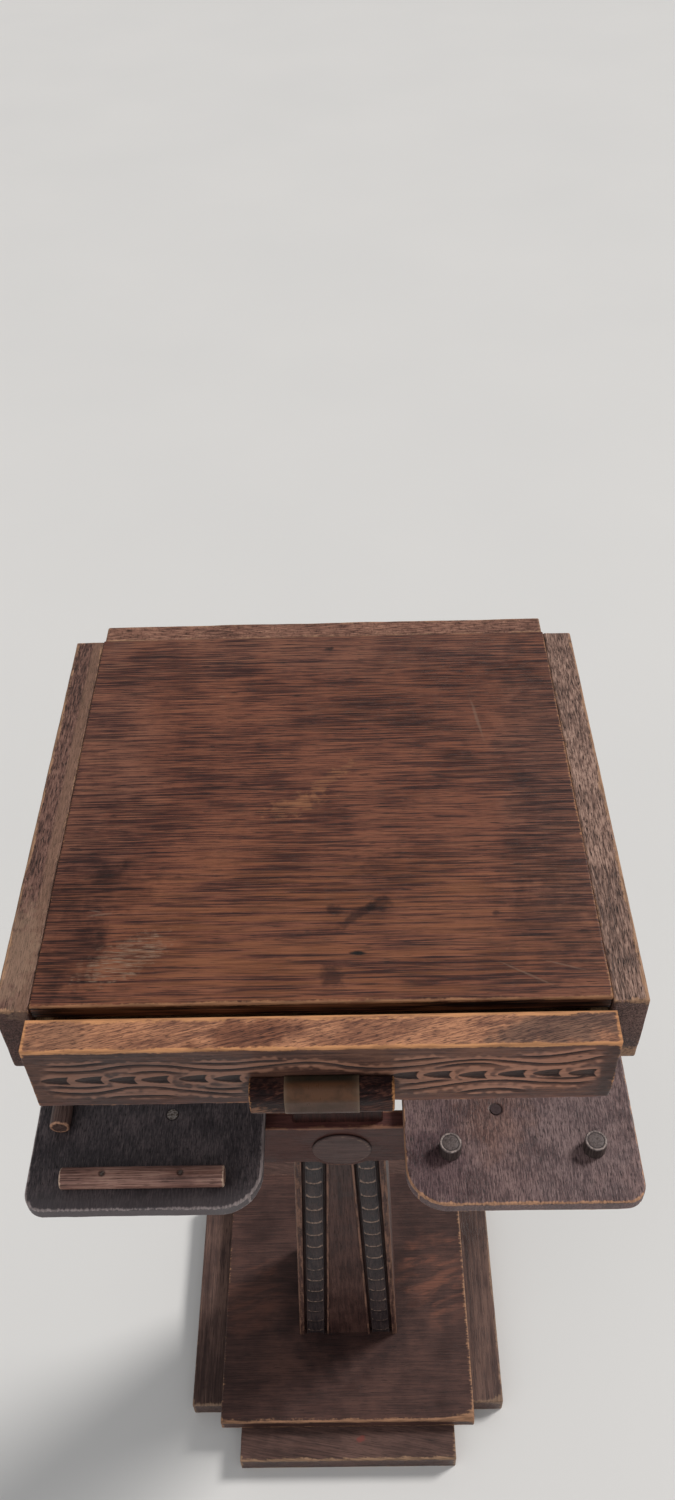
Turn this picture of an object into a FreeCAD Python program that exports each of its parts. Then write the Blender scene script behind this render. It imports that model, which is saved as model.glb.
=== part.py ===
"""Small pedestal work table: a shallow drawer case on a tapering column,
two fixed side trays carried by cross beams, and a stepped cross-shaped base.

Frame: millimetres, +Z up, +Y to the back, -Y to the front (the drawer side).
Origin: on the floor, under the middle of the base.
"""
import FreeCAD, Part
import Sketcher
import math
import os

# ---------------------------------------------------------------- driving sizes
SIZES = {
    # base
    "base_width": 262.0,
    "base_depth": 180.0,
    "base_thickness": 19.0,
    "step_width": 177.0,
    "step_reach": 42.5,
    "plate_width": 210.0,
    "plate_depth": 215.0,
    "plate_thickness": 13.0,
    # column
    "column_foot_width": 84.0,
    "column_head_width": 44.0,
    "column_depth": 77.0,
    "column_shift": 1.5,
    "column_face": 12.0,
    "column_cheek": 10.0,
    "channel_depth": 5.0,
    "panel_foot_width": 37.0,
    "panel_beam_width": 18.0,
    "channel_foot_width": 19.4,
    "channel_beam_width": 17.0,
    "panel_rim": 1.8,
    "panel_sink": 1.2,
    "ladder_foot_width": 15.0,
    "ladder_beam_width": 12.4,
    "ladder_thickness": 4.2,
    "ladder_end_gap": 0.3,
    "ladder_pitch": 21.3,
    "scoop_radius": 9.0,
    "scoop_deep": 2.8,
    "scoop_shallow": 0.3,
    # cross beams and trays
    "beam_bottom": 359.0,
    "beam_height": 46.0,
    "beam_lobe_radius": 25.0,
    "beam_thickness": 12.5,
    "beam_length": 300.0,
    "beam_front_face": 43.0,
    "boss_diameter": 39.0,
    "boss_thickness": 2.0,
    "boss_height": 19.0,
    "boss_shift": 3.5,
    "shelf_thickness": 10.0,
    "shelf_inner_edge": 44.3,
    "shelf_width": 146.5,
    "shelf_depth": 199.0,
    "shelf_shift": -0.8,
    "shelf_inner_radius": 26.0,
    "shelf_outer_radius": 12.5,
    "rod_diameter": 13.0,
    "pin_diameter": 14.0,
    "pin_height": 10.5,
    "pin_rim": 0.8,
    "pin_spread": 45.0,
    "pin_reach": 64.5,
    "pin_shift": 0.2,
    "rod_length": 101.0,
    "rod_side_length": 97.0,
    "rod_setback": 17.4,
    "rod_side_inset": 16.8,
    "nail_diameter": 2.6,
    "nail_spread": 24.0,
    "screw_head": 7.0,
    "screw_shank": 3.6,
    "screw_head_height": 2.2,
    "screw_length": 26.0,
    "screw_reach": 104.0,
    # drawer case
    "case_bottom": 625.0,
    "case_width": 290.0,
    "case_depth": 254.0,
    "case_height": 49.0,
    "side_thickness": 16.0,
    "side_corner_radius": 5.0,
    "top_thickness": 8.5,
    "top_setback": 1.5,
    "top_proud": 1.0,
    "bottom_thickness": 7.0,
    "back_width": 257.0,
    "back_thickness": 14.0,
    "back_height": 45.5,
    # drawer
    "drawer_open_rest": 4.5,
    "drawer_front_width": 259.0,
    "drawer_front_height": 45.5,
    "drawer_front_thickness": 16.5,
    "drawer_clearance": 0.4,
    "drawer_side_thickness": 8.0,
    "drawer_side_height": 30.0,
    "drawer_length": 247.0,
    "drawer_bottom_thickness": 4.0,
    "drawer_groove_depth": 3.0,
    "drawer_groove_height": 4.0,
    "notch_length": 13.4,
    "notch_height": 6.2,
    "notch_depth": 2.4,
    "notch_row_height": 21.8,
    "groove_width": 1.9,
    "groove_depth": 1.3,
    # drawer pull
    "pull_width": 64.0,
    "pull_height": 18.0,
    "pull_reach": 10.0,
    "pull_corner": 5.0,
    "pull_bottom": 5.5,
    "band_width": 33.0,
    "band_thickness": 0.8,
}
LADDER_SCOOPS = 15

# Carving on the drawer front, in millimetres across from its middle and up from
# its lower edge. Each notch is given by its square right-hand end; each gouged
# line is a run of points that a smooth curve goes through.
NOTCH_ENDS = [-111.5, -96.3, -81.5, -66.9, -50.1, -34.9,
              43.2, 57.7, 73.2, 90.5, 105.9, 121.5]
GOUGED_LINES = [
    [(-122, 35.1), (-114.5, 34.2), (-104, 34.6), (-96, 36.0), (-91, 36.9)],
    [(-125, 30.2), (-109, 29.3), (-98, 30.3), (-92, 32.2), (-85, 33.5), (-76, 34.0),
     (-66, 33.0), (-57, 31.0), (-49, 29.4), (-39, 29.2), (-28, 31.0), (-16, 33.0),
     (-4, 34.0), (4, 32.6), (12, 30.0), (22, 28.4), (33, 28.4), (43, 29.8),
     (52, 32.0), (61, 33.6), (70, 34.0), (80, 32.8), (90, 31.0), (98, 29.8),
     (106, 30.0), (114, 32.0), (121, 34.8), (127, 36.2)],
    [(-58, 35.5), (-51, 34.8), (-44, 34.4), (-36, 34.6), (-28, 35.6), (-14, 36.2)],
    [(-85, 27.2), (-78, 28.4), (-72.5, 28.7), (-66, 28.0), (-61, 26.9)],
    [(29, 33.8), (38, 34.2), (46, 35.6), (54, 36.8)],
    [(83, 37.2), (91, 36.0), (99, 36.2), (108, 38.0), (115, 39.9), (122, 41.3)],
    [(49.5, 28.0), (58, 30.2), (66, 31.0), (74, 30.4), (80.5, 28.2)],
    [(-122, 18.0), (-113, 16.2), (-104, 15.8), (-98, 16.6), (-94, 17.8)],
    [(-125.5, 14.4), (-119, 12.0), (-108, 10.7), (-100, 11.2), (-94, 13.0), (-87, 15.2),
     (-80, 15.7), (-72, 14.8), (-64, 13.0), (-56, 11.2), (-49, 9.5), (-40, 8.6),
     (-33.6, 9.3)],
    [(-55, 14.8), (-49, 13.4), (-42, 13.0), (-33.6, 14.2)],
    [(-99, 6.3), (-92, 7.5), (-84, 7.9), (-75, 7.9), (-67, 7.2), (-62, 6.3)],
    [(33.6, 14.4), (42, 15.0), (49.5, 16.6), (58, 18.2)],
    [(33.6, 9.6), (42, 9.7), (49.5, 11.4), (58, 13.6), (67, 15.6), (76, 16.5),
     (86, 16.0), (95, 14.4), (104, 13.6), (113, 13.2), (121.5, 15.0)],
    [(95, 18.4), (104, 17.5), (113, 17.9), (122, 19.5)],
    [(57, 5.2), (64, 7.3), (72, 9.0), (80, 9.3), (88, 8.1), (94, 6.8)],
]

doc = FreeCAD.newDocument("work_table")
sheet = doc.addObject("Spreadsheet::Sheet", "Sizes")
for row, (alias, value) in enumerate(SIZES.items(), start=1):
    sheet.set("A%d" % row, alias)
    sheet.set("B%d" % row, str(value))
    sheet.setAlias("B%d" % row, alias)
doc.recompute()

nodes = []


def bound(text):
    """Turn a formula over the size names into an expression on the sheet."""
    out = []
    word = ""
    for letter in text + " ":
        if letter.isalnum() or letter == "_":
            word += letter
            continue
        out.append("Sizes." + word if word in SIZES else word)
        out.append(letter)
        word = ""
    return "".join(out).strip()


def number(text):
    """The same formula worked out as a number, for first guesses."""
    value = sheet.evalExpression(bound(text))
    return float(getattr(value, "Value", value))


def origin_item(body, role):
    """One of a body's own origin planes or axes."""
    for feature in body.Origin.OriginFeatures:
        if feature.Role == role:
            return feature
    raise ValueError(role)


def place(part, x="0", y="0", z="0"):
    """Bind an object's position to formulas over the sheet."""
    for axis, text in zip("xyz", (x, y, z)):
        part.setExpression("Placement.Base." + axis, "(%s) * 1 mm" % bound(text))


def new_body(name):
    body = doc.addObject("PartDesign::Body", name)
    body.Label = name
    return body


def keep(part):
    """Put a finished object on the list of pieces to write."""
    nodes.append(part)
    return part


def polygon(body, name, role, points):
    """A closed sketch whose corners are tied to formulas over the sheet."""
    sketch = body.newObject("Sketcher::SketchObject", name)
    sketch.AttachmentSupport = [(origin_item(body, role), "")]
    sketch.MapMode = "FlatFace"
    corners = [FreeCAD.Vector(number(x), number(y), 0) for x, y in points]
    count = len(corners)
    for i in range(count):
        sketch.addGeometry(Part.LineSegment(corners[i], corners[(i + 1) % count]), False)
    for i in range(count):
        sketch.addConstraint(Sketcher.Constraint("Coincident", i, 2, (i + 1) % count, 1))
    for i, (x, y) in enumerate(points):
        for kind, text, axis in (("DistanceX", x, -2), ("DistanceY", y, -1)):
            if text == "0":
                sketch.addConstraint(Sketcher.Constraint("PointOnObject", i, 1, axis))
                continue
            index = sketch.addConstraint(Sketcher.Constraint(kind, -1, 1, i, 1, number(text)))
            label = "%s_%d" % (kind, i)
            sketch.renameConstraint(index, label)
            sketch.setExpression("Constraints." + label, "(%s) * 1 mm" % bound(text))
    return sketch


def circles(body, name, role, centres, diameter):
    """A sketch of equal circles whose centres are tied to formulas."""
    sketch = body.newObject("Sketcher::SketchObject", name)
    sketch.AttachmentSupport = [(origin_item(body, role), "")]
    sketch.MapMode = "FlatFace"
    up = FreeCAD.Vector(0, 0, 1)
    for i, (x, y) in enumerate(centres):
        middle = FreeCAD.Vector(number(x), number(y), 0)
        sketch.addGeometry(Part.Circle(middle, up, number(diameter) / 2.0), False)
        index = sketch.addConstraint(Sketcher.Constraint("Diameter", i, number(diameter)))
        sketch.renameConstraint(index, "Diameter_%d" % i)
        sketch.setExpression("Constraints.Diameter_%d" % i, "(%s) * 1 mm" % bound(diameter))
        for kind, text, axis in (("DistanceX", x, -2), ("DistanceY", y, -1)):
            if text == "0":
                sketch.addConstraint(Sketcher.Constraint("PointOnObject", i, 3, axis))
                continue
            index = sketch.addConstraint(Sketcher.Constraint(kind, -1, 1, i, 3, number(text)))
            label = "%s_%d" % (kind, i)
            sketch.renameConstraint(index, label)
            sketch.setExpression("Constraints." + label, "(%s) * 1 mm" % bound(text))
    return sketch


def pad(body, sketch, name, length, backwards=False, both_ways=False):
    feature = body.newObject("PartDesign::Pad", name)
    feature.Profile = sketch
    feature.Length = number(length)
    feature.setExpression("Length", "(%s) * 1 mm" % bound(length))
    feature.Reversed = backwards
    feature.Midplane = both_ways
    sketch.Visibility = False
    return feature


def pocket(body, sketch, name, length, backwards=False, both_ways=False):
    """Cut a sketch into a body and make sure that it takes wood away."""
    doc.recompute()
    before = body.Shape.Volume
    feature = body.newObject("PartDesign::Pocket", name)
    feature.Profile = sketch
    feature.Length = number(length)
    feature.setExpression("Length", "(%s) * 1 mm" % bound(length))
    feature.Reversed = backwards
    feature.Midplane = both_ways
    doc.recompute()
    if body.Shape.Volume >= before - 1e-3:
        raise RuntimeError("%s cuts nothing" % name)
    return feature


def fillet(body, name, radius, wanted):
    """Round the edges of a body that the test picks."""
    doc.recompute()
    base = body.Tip
    names = []
    for i, edge in enumerate(base.Shape.Edges, start=1):
        if wanted(edge):
            names.append("Edge%d" % i)
    feature = body.newObject("PartDesign::Fillet", name)
    feature.Base = (base, names)
    feature.Radius = number(radius)
    feature.setExpression("Radius", "(%s) * 1 mm" % bound(radius))
    doc.recompute()
    return feature


def rectangle(width, depth):
    """Corner formulas of a rectangle centred on the origin."""
    return [
        ("-(%s) / 2" % width, "-(%s) / 2" % depth),
        ("(%s) / 2" % width, "-(%s) / 2" % depth),
        ("(%s) / 2" % width, "(%s) / 2" % depth),
        ("-(%s) / 2" % width, "(%s) / 2" % depth),
    ]


def board(name, width, depth, thickness, x="0", y="0", z="0"):
    """A flat board centred on x and y, standing on z."""
    body = new_body(name)
    sketch = polygon(body, name + "_outline", "XY_Plane", rectangle(width, depth))
    pad(body, sketch, name + "_pad", thickness)
    place(body, x, y, z)
    return body


def upright(direction):
    """Edges that run straight along one axis."""
    def test(edge):
        if not isinstance(edge.Curve, Part.Line):
            return False
        return abs(abs(edge.Curve.Direction.dot(direction)) - 1.0) < 1e-6
    return test


ALONG_X = FreeCAD.Vector(1, 0, 0)
ALONG_Z = FreeCAD.Vector(0, 0, 1)

# ------------------------------------------------------------------------ base
keep(board("base_board", "base_width", "base_depth", "base_thickness"))
for side, sign in (("front", "-1"), ("back", "1")):
    keep(board("base_step_" + side, "step_width", "step_reach", "base_thickness",
               y="%s * (base_depth + step_reach) / 2" % sign))
keep(board("base_plate", "plate_width", "plate_depth", "plate_thickness",
           z="base_thickness"))

# ---------------------------------------------------------------------- column
COLUMN_FOOT = "(base_thickness + plate_thickness)"
COLUMN_HEIGHT = "(case_bottom - %s)" % COLUMN_FOOT
BEAM_RISE = "(beam_bottom - %s)" % COLUMN_FOOT
LOBE_RISE = "(%s + boss_height)" % BEAM_RISE
LADDER_RISE = "(%s - beam_lobe_radius - 2 * ladder_end_gap)" % LOBE_RISE
HOUSING_DEPTH = "(column_depth / 2 - beam_front_face + beam_thickness)"


def column_face_body(name):
    """One tapering face board; local z 0 is the top of the base plate."""
    body = new_body(name)
    outline = polygon(body, name + "_outline", "XZ_Plane", [
        ("-column_foot_width / 2", "0"),
        ("column_foot_width / 2", "0"),
        ("column_head_width / 2", COLUMN_HEIGHT),
        ("-column_head_width / 2", COLUMN_HEIGHT),
    ])
    pad(body, outline, name + "_pad", "column_face", backwards=True)
    return body


def beam_housing(body, name, side):
    """The slot across a face board that a cross beam and its round lobe are let into."""
    low = BEAM_RISE
    high = "(%s + beam_height)" % BEAM_RISE
    slot = polygon(body, name + "_housing", "XZ_Plane", [
        ("-column_foot_width", low),
        ("column_foot_width", low),
        ("column_foot_width", high),
        ("-column_foot_width", high),
    ])
    lobe = circles(body, name + "_lobe_housing", "XZ_Plane",
                   [("boss_shift - column_shift", LOBE_RISE)], "2 * beam_lobe_radius")
    for sketch, tag in ((slot, "_slot_cut"), (lobe, "_lobe_cut")):
        if side == "back":
            sketch.setExpression(
                "AttachmentOffset.Base.z",
                "-(%s) * 1 mm" % bound("column_face - " + HOUSING_DEPTH))
        pocket(body, sketch, name + tag, HOUSING_DEPTH)


column_front = column_face_body("column_front")
for side, sign in (("left", "-"), ("right", "")):
    channel = polygon(column_front, "channel_" + side, "XZ_Plane", [
        (sign + "panel_foot_width / 2", "-1"),
        (sign + "(panel_foot_width / 2 + channel_foot_width)", "-1"),
        (sign + "(panel_beam_width / 2 + channel_beam_width)", BEAM_RISE),
        (sign + "panel_beam_width / 2", BEAM_RISE),
    ])
    pocket(column_front, channel, "channel_cut_" + side, "channel_depth")
panel_field = polygon(column_front, "panel_field", "XZ_Plane", [
    ("-(panel_foot_width / 2 - panel_rim)", "-1"),
    ("panel_foot_width / 2 - panel_rim", "-1"),
    ("panel_beam_width / 2 - panel_rim", BEAM_RISE),
    ("-(panel_beam_width / 2 - panel_rim)", BEAM_RISE),
])
pocket(column_front, panel_field, "panel_sunk_field", "panel_sink")
beam_housing(column_front, "column_front", "front")
place(column_front, x="column_shift", y="-column_depth / 2", z=COLUMN_FOOT)
keep(column_front)

column_back = column_face_body("column_back")
beam_housing(column_back, "column_back", "back")
place(column_back, x="column_shift", y="column_depth / 2 - column_face",
      z=COLUMN_FOOT)
keep(column_back)

for side, sign in (("left", "-"), ("right", "")):
    name = "column_cheek_" + side
    cheek = new_body(name)
    outline = polygon(cheek, name + "_outline", "XZ_Plane", [
        (sign + "(column_foot_width / 2 - column_cheek)", "0"),
        (sign + "column_foot_width / 2", "0"),
        (sign + "column_head_width / 2", COLUMN_HEIGHT),
        (sign + "(column_head_width / 2 - column_cheek)", COLUMN_HEIGHT),
    ])
    pad(cheek, outline, name + "_pad", "column_depth - 2 * column_face", both_ways=True)
    place(cheek, x="column_shift", z=COLUMN_FOOT)
    keep(cheek)


def ladder_strip(name, sign):
    """A tapering strip with a stack of scooped scales, upright in its own frame."""
    strip = new_body(name)
    outline = polygon(strip, name + "_outline", "XZ_Plane", [
        ("-ladder_foot_width / 2", "0"),
        ("ladder_foot_width / 2", "0"),
        ("ladder_beam_width / 2", LADDER_RISE),
        ("-ladder_beam_width / 2", LADDER_RISE),
    ])
    pad(strip, outline, name + "_pad", "ladder_thickness", backwards=True)
    # One scoop: a slightly tilted round gouge, deepest at its upper end.
    radius = number("scoop_radius")
    deep = number("scoop_deep")
    shallow = number("scoop_shallow")
    pitch = number("ladder_pitch")
    low = number(LADDER_RISE) - pitch
    gouge = strip.newObject("Sketcher::SketchObject", name + "_gouge")
    gouge.AttachmentSupport = [(origin_item(strip, "YZ_Plane"), "")]
    gouge.MapMode = "FlatFace"
    axis_low = FreeCAD.Vector(shallow - radius, low, 0)
    axis_high = FreeCAD.Vector(deep - radius, low + pitch, 0)
    tip_low = FreeCAD.Vector(shallow, low, 0)
    tip_high = FreeCAD.Vector(deep, low + pitch, 0)
    corners = [axis_low, tip_low, tip_high, axis_high]
    for i in range(4):
        gouge.addGeometry(Part.LineSegment(corners[i], corners[(i + 1) % 4]), False)
    for i in range(4):
        gouge.addConstraint(Sketcher.Constraint("Coincident", i, 2, (i + 1) % 4, 1))
    ties = [
        ("axis_low_y", "DistanceX", 0, "scoop_shallow - scoop_radius"),
        ("axis_low_z", "DistanceY", 0, "%s - ladder_pitch" % LADDER_RISE),
        ("tip_low_y", "DistanceX", 1, "scoop_shallow"),
        ("tip_low_z", "DistanceY", 1, "%s - ladder_pitch" % LADDER_RISE),
        ("tip_high_y", "DistanceX", 2, "scoop_deep"),
        ("tip_high_z", "DistanceY", 2, LADDER_RISE),
        ("axis_high_y", "DistanceX", 3, "scoop_deep - scoop_radius"),
        ("axis_high_z", "DistanceY", 3, LADDER_RISE),
    ]
    for label, kind, corner, text in ties:
        index = gouge.addConstraint(
            Sketcher.Constraint(kind, -1, 1, corner, 1, number(text)))
        gouge.renameConstraint(index, label)
        gouge.setExpression("Constraints." + label, "(%s) * 1 mm" % bound(text))
    doc.recompute()
    before = strip.Shape.Volume
    groove = strip.newObject("PartDesign::Groove", name + "_scoop")
    groove.Profile = gouge
    groove.ReferenceAxis = (gouge, ["Edge4"])
    groove.Angle = 360.0
    doc.recompute()
    if strip.Shape.Volume >= before - 1.0:
        raise RuntimeError(name + " scoop cuts nothing")
    stack = strip.newObject("PartDesign::LinearPattern", name + "_scoops")
    stack.Originals = [groove]
    stack.Direction = (origin_item(strip, "Z_Axis"), [""])
    stack.Reversed = True
    stack.Length = pitch * (LADDER_SCOOPS - 1)
    stack.setExpression("Length", "Sizes.ladder_pitch * %d * 1 mm" % (LADDER_SCOOPS - 1))
    stack.Occurrences = LADDER_SCOOPS
    strip.Tip = stack
    doc.recompute()
    # Lean the strip so that it runs up the middle of its channel.
    foot_x = number("panel_foot_width / 2 + channel_foot_width / 2")
    beam_x = number("panel_beam_width / 2 + channel_beam_width / 2")
    lean = math.degrees(math.atan2(foot_x - beam_x, number(BEAM_RISE)))
    turn = FreeCAD.Rotation(FreeCAD.Vector(0, 1, 0), -sign * lean)
    strip.Placement = FreeCAD.Placement(FreeCAD.Vector(0, 0, 0), turn)
    place(strip,
          x="column_shift + %d * (panel_foot_width / 2 + channel_foot_width / 2)" % sign,
          y="-column_depth / 2 + channel_depth - ladder_thickness",
          z=COLUMN_FOOT + " + ladder_end_gap")
    return strip


for side, sign in (("left", -1), ("right", 1)):
    keep(ladder_strip("ladder_strip_" + side, sign))

# ------------------------------------------------------------------ cross beams
SCREW_Y = "(beam_front_face - beam_thickness / 2)"
for side, sign in (("front", "-1"), ("back", "1")):
    name = "beam_" + side
    beam = board(name, "beam_length", "beam_thickness", "beam_height",
                 x="shelf_shift",
                 y="%s * %s" % (sign, SCREW_Y), z="beam_bottom")
    lobe = circles(beam, name + "_lobe", "XZ_Plane",
                   [("boss_shift - shelf_shift", "boss_height")], "2 * beam_lobe_radius")
    pad(beam, lobe, name + "_lobe_pad", "beam_thickness", both_ways=True)
    holes = circles(beam, name + "_screw_holes", "XY_Plane",
                    [("-screw_reach", "0"), ("screw_reach", "0")], "screw_shank")
    holes.setExpression("AttachmentOffset.Base.z", "Sizes.beam_height * 1 mm")
    pocket(beam, holes, name + "_screw_cut", "screw_length - shelf_thickness")
    keep(beam)

boss = new_body("beam_boss")
disc = circles(boss, "boss_outline", "XZ_Plane", [("0", "0")], "boss_diameter")
pad(boss, disc, "boss_pad", "boss_thickness")
fillet(boss, "boss_soft_edge", "boss_thickness / 2",
       lambda edge: edge.BoundBox.YMax < -1.0)
place(boss, x="boss_shift", y="-beam_front_face", z="beam_bottom + boss_height")
keep(boss)

# ------------------------------------------------------------------------ trays
SHELF_BOTTOM = "(beam_bottom + beam_height)"
SHELF_TOP = "(beam_bottom + beam_height + shelf_thickness)"
SHELF_MIDDLE = "(shelf_inner_edge + shelf_width / 2)"

for side, sign in (("left", -1), ("right", 1)):
    name = "shelf_" + side
    shelf = board(name, "shelf_width", "shelf_depth", "shelf_thickness",
                  x="%d * %s + shelf_shift" % (sign, SHELF_MIDDLE), z=SHELF_BOTTOM)
    for end, end_sign, radius in (("inner", -sign, "shelf_inner_radius"),
                                  ("outer", sign, "shelf_outer_radius")):
        corner_x = end_sign * number("shelf_width") / 2

        def at_corner(edge, corner_x=corner_x):
            on_corner = abs(edge.CenterOfMass.x - corner_x) < 0.01
            return upright(ALONG_Z)(edge) and on_corner
        fillet(shelf, "%s_%s_corners" % (name, end), radius, at_corner)
    local_x = "%d * (screw_reach - %s)" % (sign, SHELF_MIDDLE)
    holes = circles(shelf, name + "_screw_holes", "XY_Plane",
                    [(local_x, "-" + SCREW_Y), (local_x, SCREW_Y)], "screw_shank")
    holes.setExpression("AttachmentOffset.Base.z", "Sizes.shelf_thickness * 1 mm")
    pocket(shelf, holes, name + "_screw_cut", "shelf_thickness")
    sinks = circles(shelf, name + "_screw_sinks", "XY_Plane",
                    [(local_x, "-" + SCREW_Y), (local_x, SCREW_Y)], "screw_head")
    sinks.setExpression("AttachmentOffset.Base.z", "Sizes.shelf_thickness * 1 mm")
    pocket(shelf, sinks, name + "_screw_head_cut", "screw_head_height")
    keep(shelf)


def group_of(name, shapes):
    """Several equal loose solids that share one node."""
    feature = doc.addObject("Part::Compound", name)
    feature.Label = name
    feature.Links = shapes
    return feature


def cylinder(name, diameter, height):
    piece = doc.addObject("Part::Cylinder", name)
    piece.Label = name
    piece.setExpression("Radius", "(%s) / 2 * 1 mm" % bound(diameter))
    piece.setExpression("Height", "(%s) * 1 mm" % bound(height))
    return piece


screws = []
for x_side, x_sign in (("left", -1), ("right", 1)):
    for y_side, y_sign in (("front", -1), ("back", 1)):
        tag = "shelf_screw_%s_%s" % (x_side, y_side)
        shank = cylinder(tag + "_shank", "screw_shank", "screw_length - screw_head_height")
        place(shank, z="-(screw_length - screw_head_height)")
        head = cylinder(tag + "_head", "screw_head", "screw_head_height")
        screw = doc.addObject("Part::Fuse", tag)
        screw.Base = shank
        screw.Tool = head
        place(screw, x="%d * screw_reach + shelf_shift" % x_sign,
              y="%d * %s" % (y_sign, SCREW_Y),
              z="%s - screw_head_height" % SHELF_TOP)
        screws.append(screw)
keep(group_of("shelf_screws", screws))

# Spool pins stand on the right tray.
pin_number = 0
for y_sign in (-1, 1):
    for x_sign in (-1, 1):
        pin_number += 1
        pin = new_body("spool_pin_%d" % pin_number)
        ring = circles(pin, "pin_outline_%d" % pin_number, "XY_Plane",
                       [("0", "0")], "pin_diameter")
        pad(pin, ring, "pin_pad_%d" % pin_number, "pin_height")
        fillet(pin, "pin_worn_rim_%d" % pin_number, "pin_rim",
               lambda edge: edge.BoundBox.ZMin > 1.0)
        place(pin, x="%s + shelf_shift + pin_shift + %d * pin_spread" % (SHELF_MIDDLE, x_sign),
              y="%d * pin_reach" % y_sign, z=SHELF_TOP)
        keep(pin)

# Dowel rods lie round the outer edges of the left tray, nailed down.
ROD_Z = "(%s + rod_diameter / 2)" % SHELF_TOP
ROD_Y = "(shelf_depth / 2 - rod_setback)"
ROD_X = "(shelf_shift - %s)" % SHELF_MIDDLE
SIDE_ROD_X = "(shelf_shift - shelf_inner_edge - shelf_width + rod_side_inset)"
nails = []


def lying_rod(name, length, along_x):
    """A round rod lying on the tray, with its nail holes cut from above."""
    rod = new_body(name)
    role = "YZ_Plane" if along_x else "XZ_Plane"
    ring = circles(rod, name + "_outline", role, [("0", "0")], "rod_diameter")
    pad(rod, ring, name + "_pad", length, both_ways=True)
    if along_x:
        centres = [("-nail_spread", "0"), ("nail_spread", "0")]
    else:
        centres = [("0", "-nail_spread"), ("0", "nail_spread")]
    holes = circles(rod, name + "_nail_holes", "XY_Plane", centres, "nail_diameter")
    pocket(rod, holes, name + "_nail_cut", "rod_diameter + 2", both_ways=True)
    return rod


def nail(tag, x, y):
    """A round nail from the top of a rod down to the tray."""
    piece = cylinder(tag, "nail_diameter", "rod_diameter - 0.4")
    place(piece, x=x, y=y, z=SHELF_TOP)
    nails.append(piece)


for side, sign in (("front", -1), ("back", 1)):
    rod = lying_rod("shelf_rod_" + side, "rod_length", True)
    place(rod, x=ROD_X, y="%d * %s" % (sign, ROD_Y), z=ROD_Z)
    keep(rod)
    for end in (-1, 1):
        nail("rod_nail_%s_%s" % (side, "ab"[end > 0]),
             "%s + %d * nail_spread" % (ROD_X, end), "%d * %s" % (sign, ROD_Y))
rod = lying_rod("shelf_rod_side", "rod_side_length", False)
place(rod, x=SIDE_ROD_X, z=ROD_Z)
keep(rod)
for end in (-1, 1):
    nail("rod_nail_side_%s" % "ab"[end > 0], SIDE_ROD_X, "%d * nail_spread" % end)
keep(group_of("rod_nails", nails))

# ------------------------------------------------------------------ drawer case
INNER_WIDTH = "(case_width - 2 * side_thickness)"
for side, sign in (("left", -1), ("right", 1)):
    name = "side_board_" + side
    side_board = board(name, "side_thickness", "case_depth", "case_height",
                       x="%d * (case_width - side_thickness) / 2" % sign,
                       z="case_bottom")

    def front_low_edge(edge):
        middle = edge.CenterOfMass
        return upright(ALONG_X)(edge) and middle.z < 1.0 and middle.y < 0
    fillet(side_board, name + "_corner", "side_corner_radius", front_low_edge)
    keep(side_board)
keep(board("top_panel", INNER_WIDTH, "case_depth - top_setback", "top_thickness",
           y="top_setback / 2",
           z="case_bottom + case_height + top_proud - top_thickness"))
keep(board("case_floor", INNER_WIDTH, "case_depth", "bottom_thickness",
           z="case_bottom"))
keep(board("back_board", "back_width", "back_thickness", "back_height",
           y="(case_depth + back_thickness) / 2",
           z="case_bottom + case_height - back_height"))

# ----------------------------------------------------------------------- drawer
DRAWER_FRONT_BACK = "(-case_depth / 2 - drawer_open_rest)"
DRAWER_LOW = "(case_bottom + bottom_thickness + drawer_clearance)"
DRAWER_OUTER = "(%s - 2 * drawer_clearance)" % INNER_WIDTH
FRONT_LOW = "(case_bottom + case_height - drawer_front_height)"

front_board = new_body("drawer_front_board")
outline = polygon(front_board, "drawer_front_outline", "XZ_Plane", [
    ("-drawer_front_width / 2", "0"),
    ("drawer_front_width / 2", "0"),
    ("drawer_front_width / 2", "drawer_front_height"),
    ("-drawer_front_width / 2", "drawer_front_height"),
])
pad(front_board, outline, "drawer_front_pad", "drawer_front_thickness", backwards=True)
for i, right_end in enumerate(NOTCH_ENDS, start=1):
    # Each notch is pointed at its left end and square at its right end.
    notch = polygon(front_board, "notch_%d" % i, "XZ_Plane", [
        ("%s - notch_length" % right_end, "notch_row_height"),
        (str(right_end), "notch_row_height - notch_height / 2"),
        (str(right_end), "notch_row_height + notch_height / 2"),
    ])
    pocket(front_board, notch, "notch_cut_%d" % i, "notch_depth")


def gouged_line(points):
    """A smooth ribbon with pointed ends along a run of points, as a cutting solid."""
    half = number("groove_width") / 2
    depth = number("groove_depth")
    count = len(points)
    edges = []
    for side in (-1, 1):
        shifted = []
        for k, (x, z) in enumerate(points):
            before = points[max(k - 1, 0)]
            after = points[min(k + 1, count - 1)]
            run = math.hypot(after[0] - before[0], after[1] - before[1])
            normal_x = -(after[1] - before[1]) / run
            normal_z = (after[0] - before[0]) / run
            offset = 0.0 if k in (0, count - 1) else side * half
            shifted.append(FreeCAD.Vector(x + normal_x * offset, 0, z + normal_z * offset))
        curve = Part.BSplineCurve()
        curve.interpolate(shifted)
        edges.append(curve.toShape())
    face = Part.Face(Part.Wire(edges))
    return face.extrude(FreeCAD.Vector(0, depth + 1.0, 0))


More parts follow.
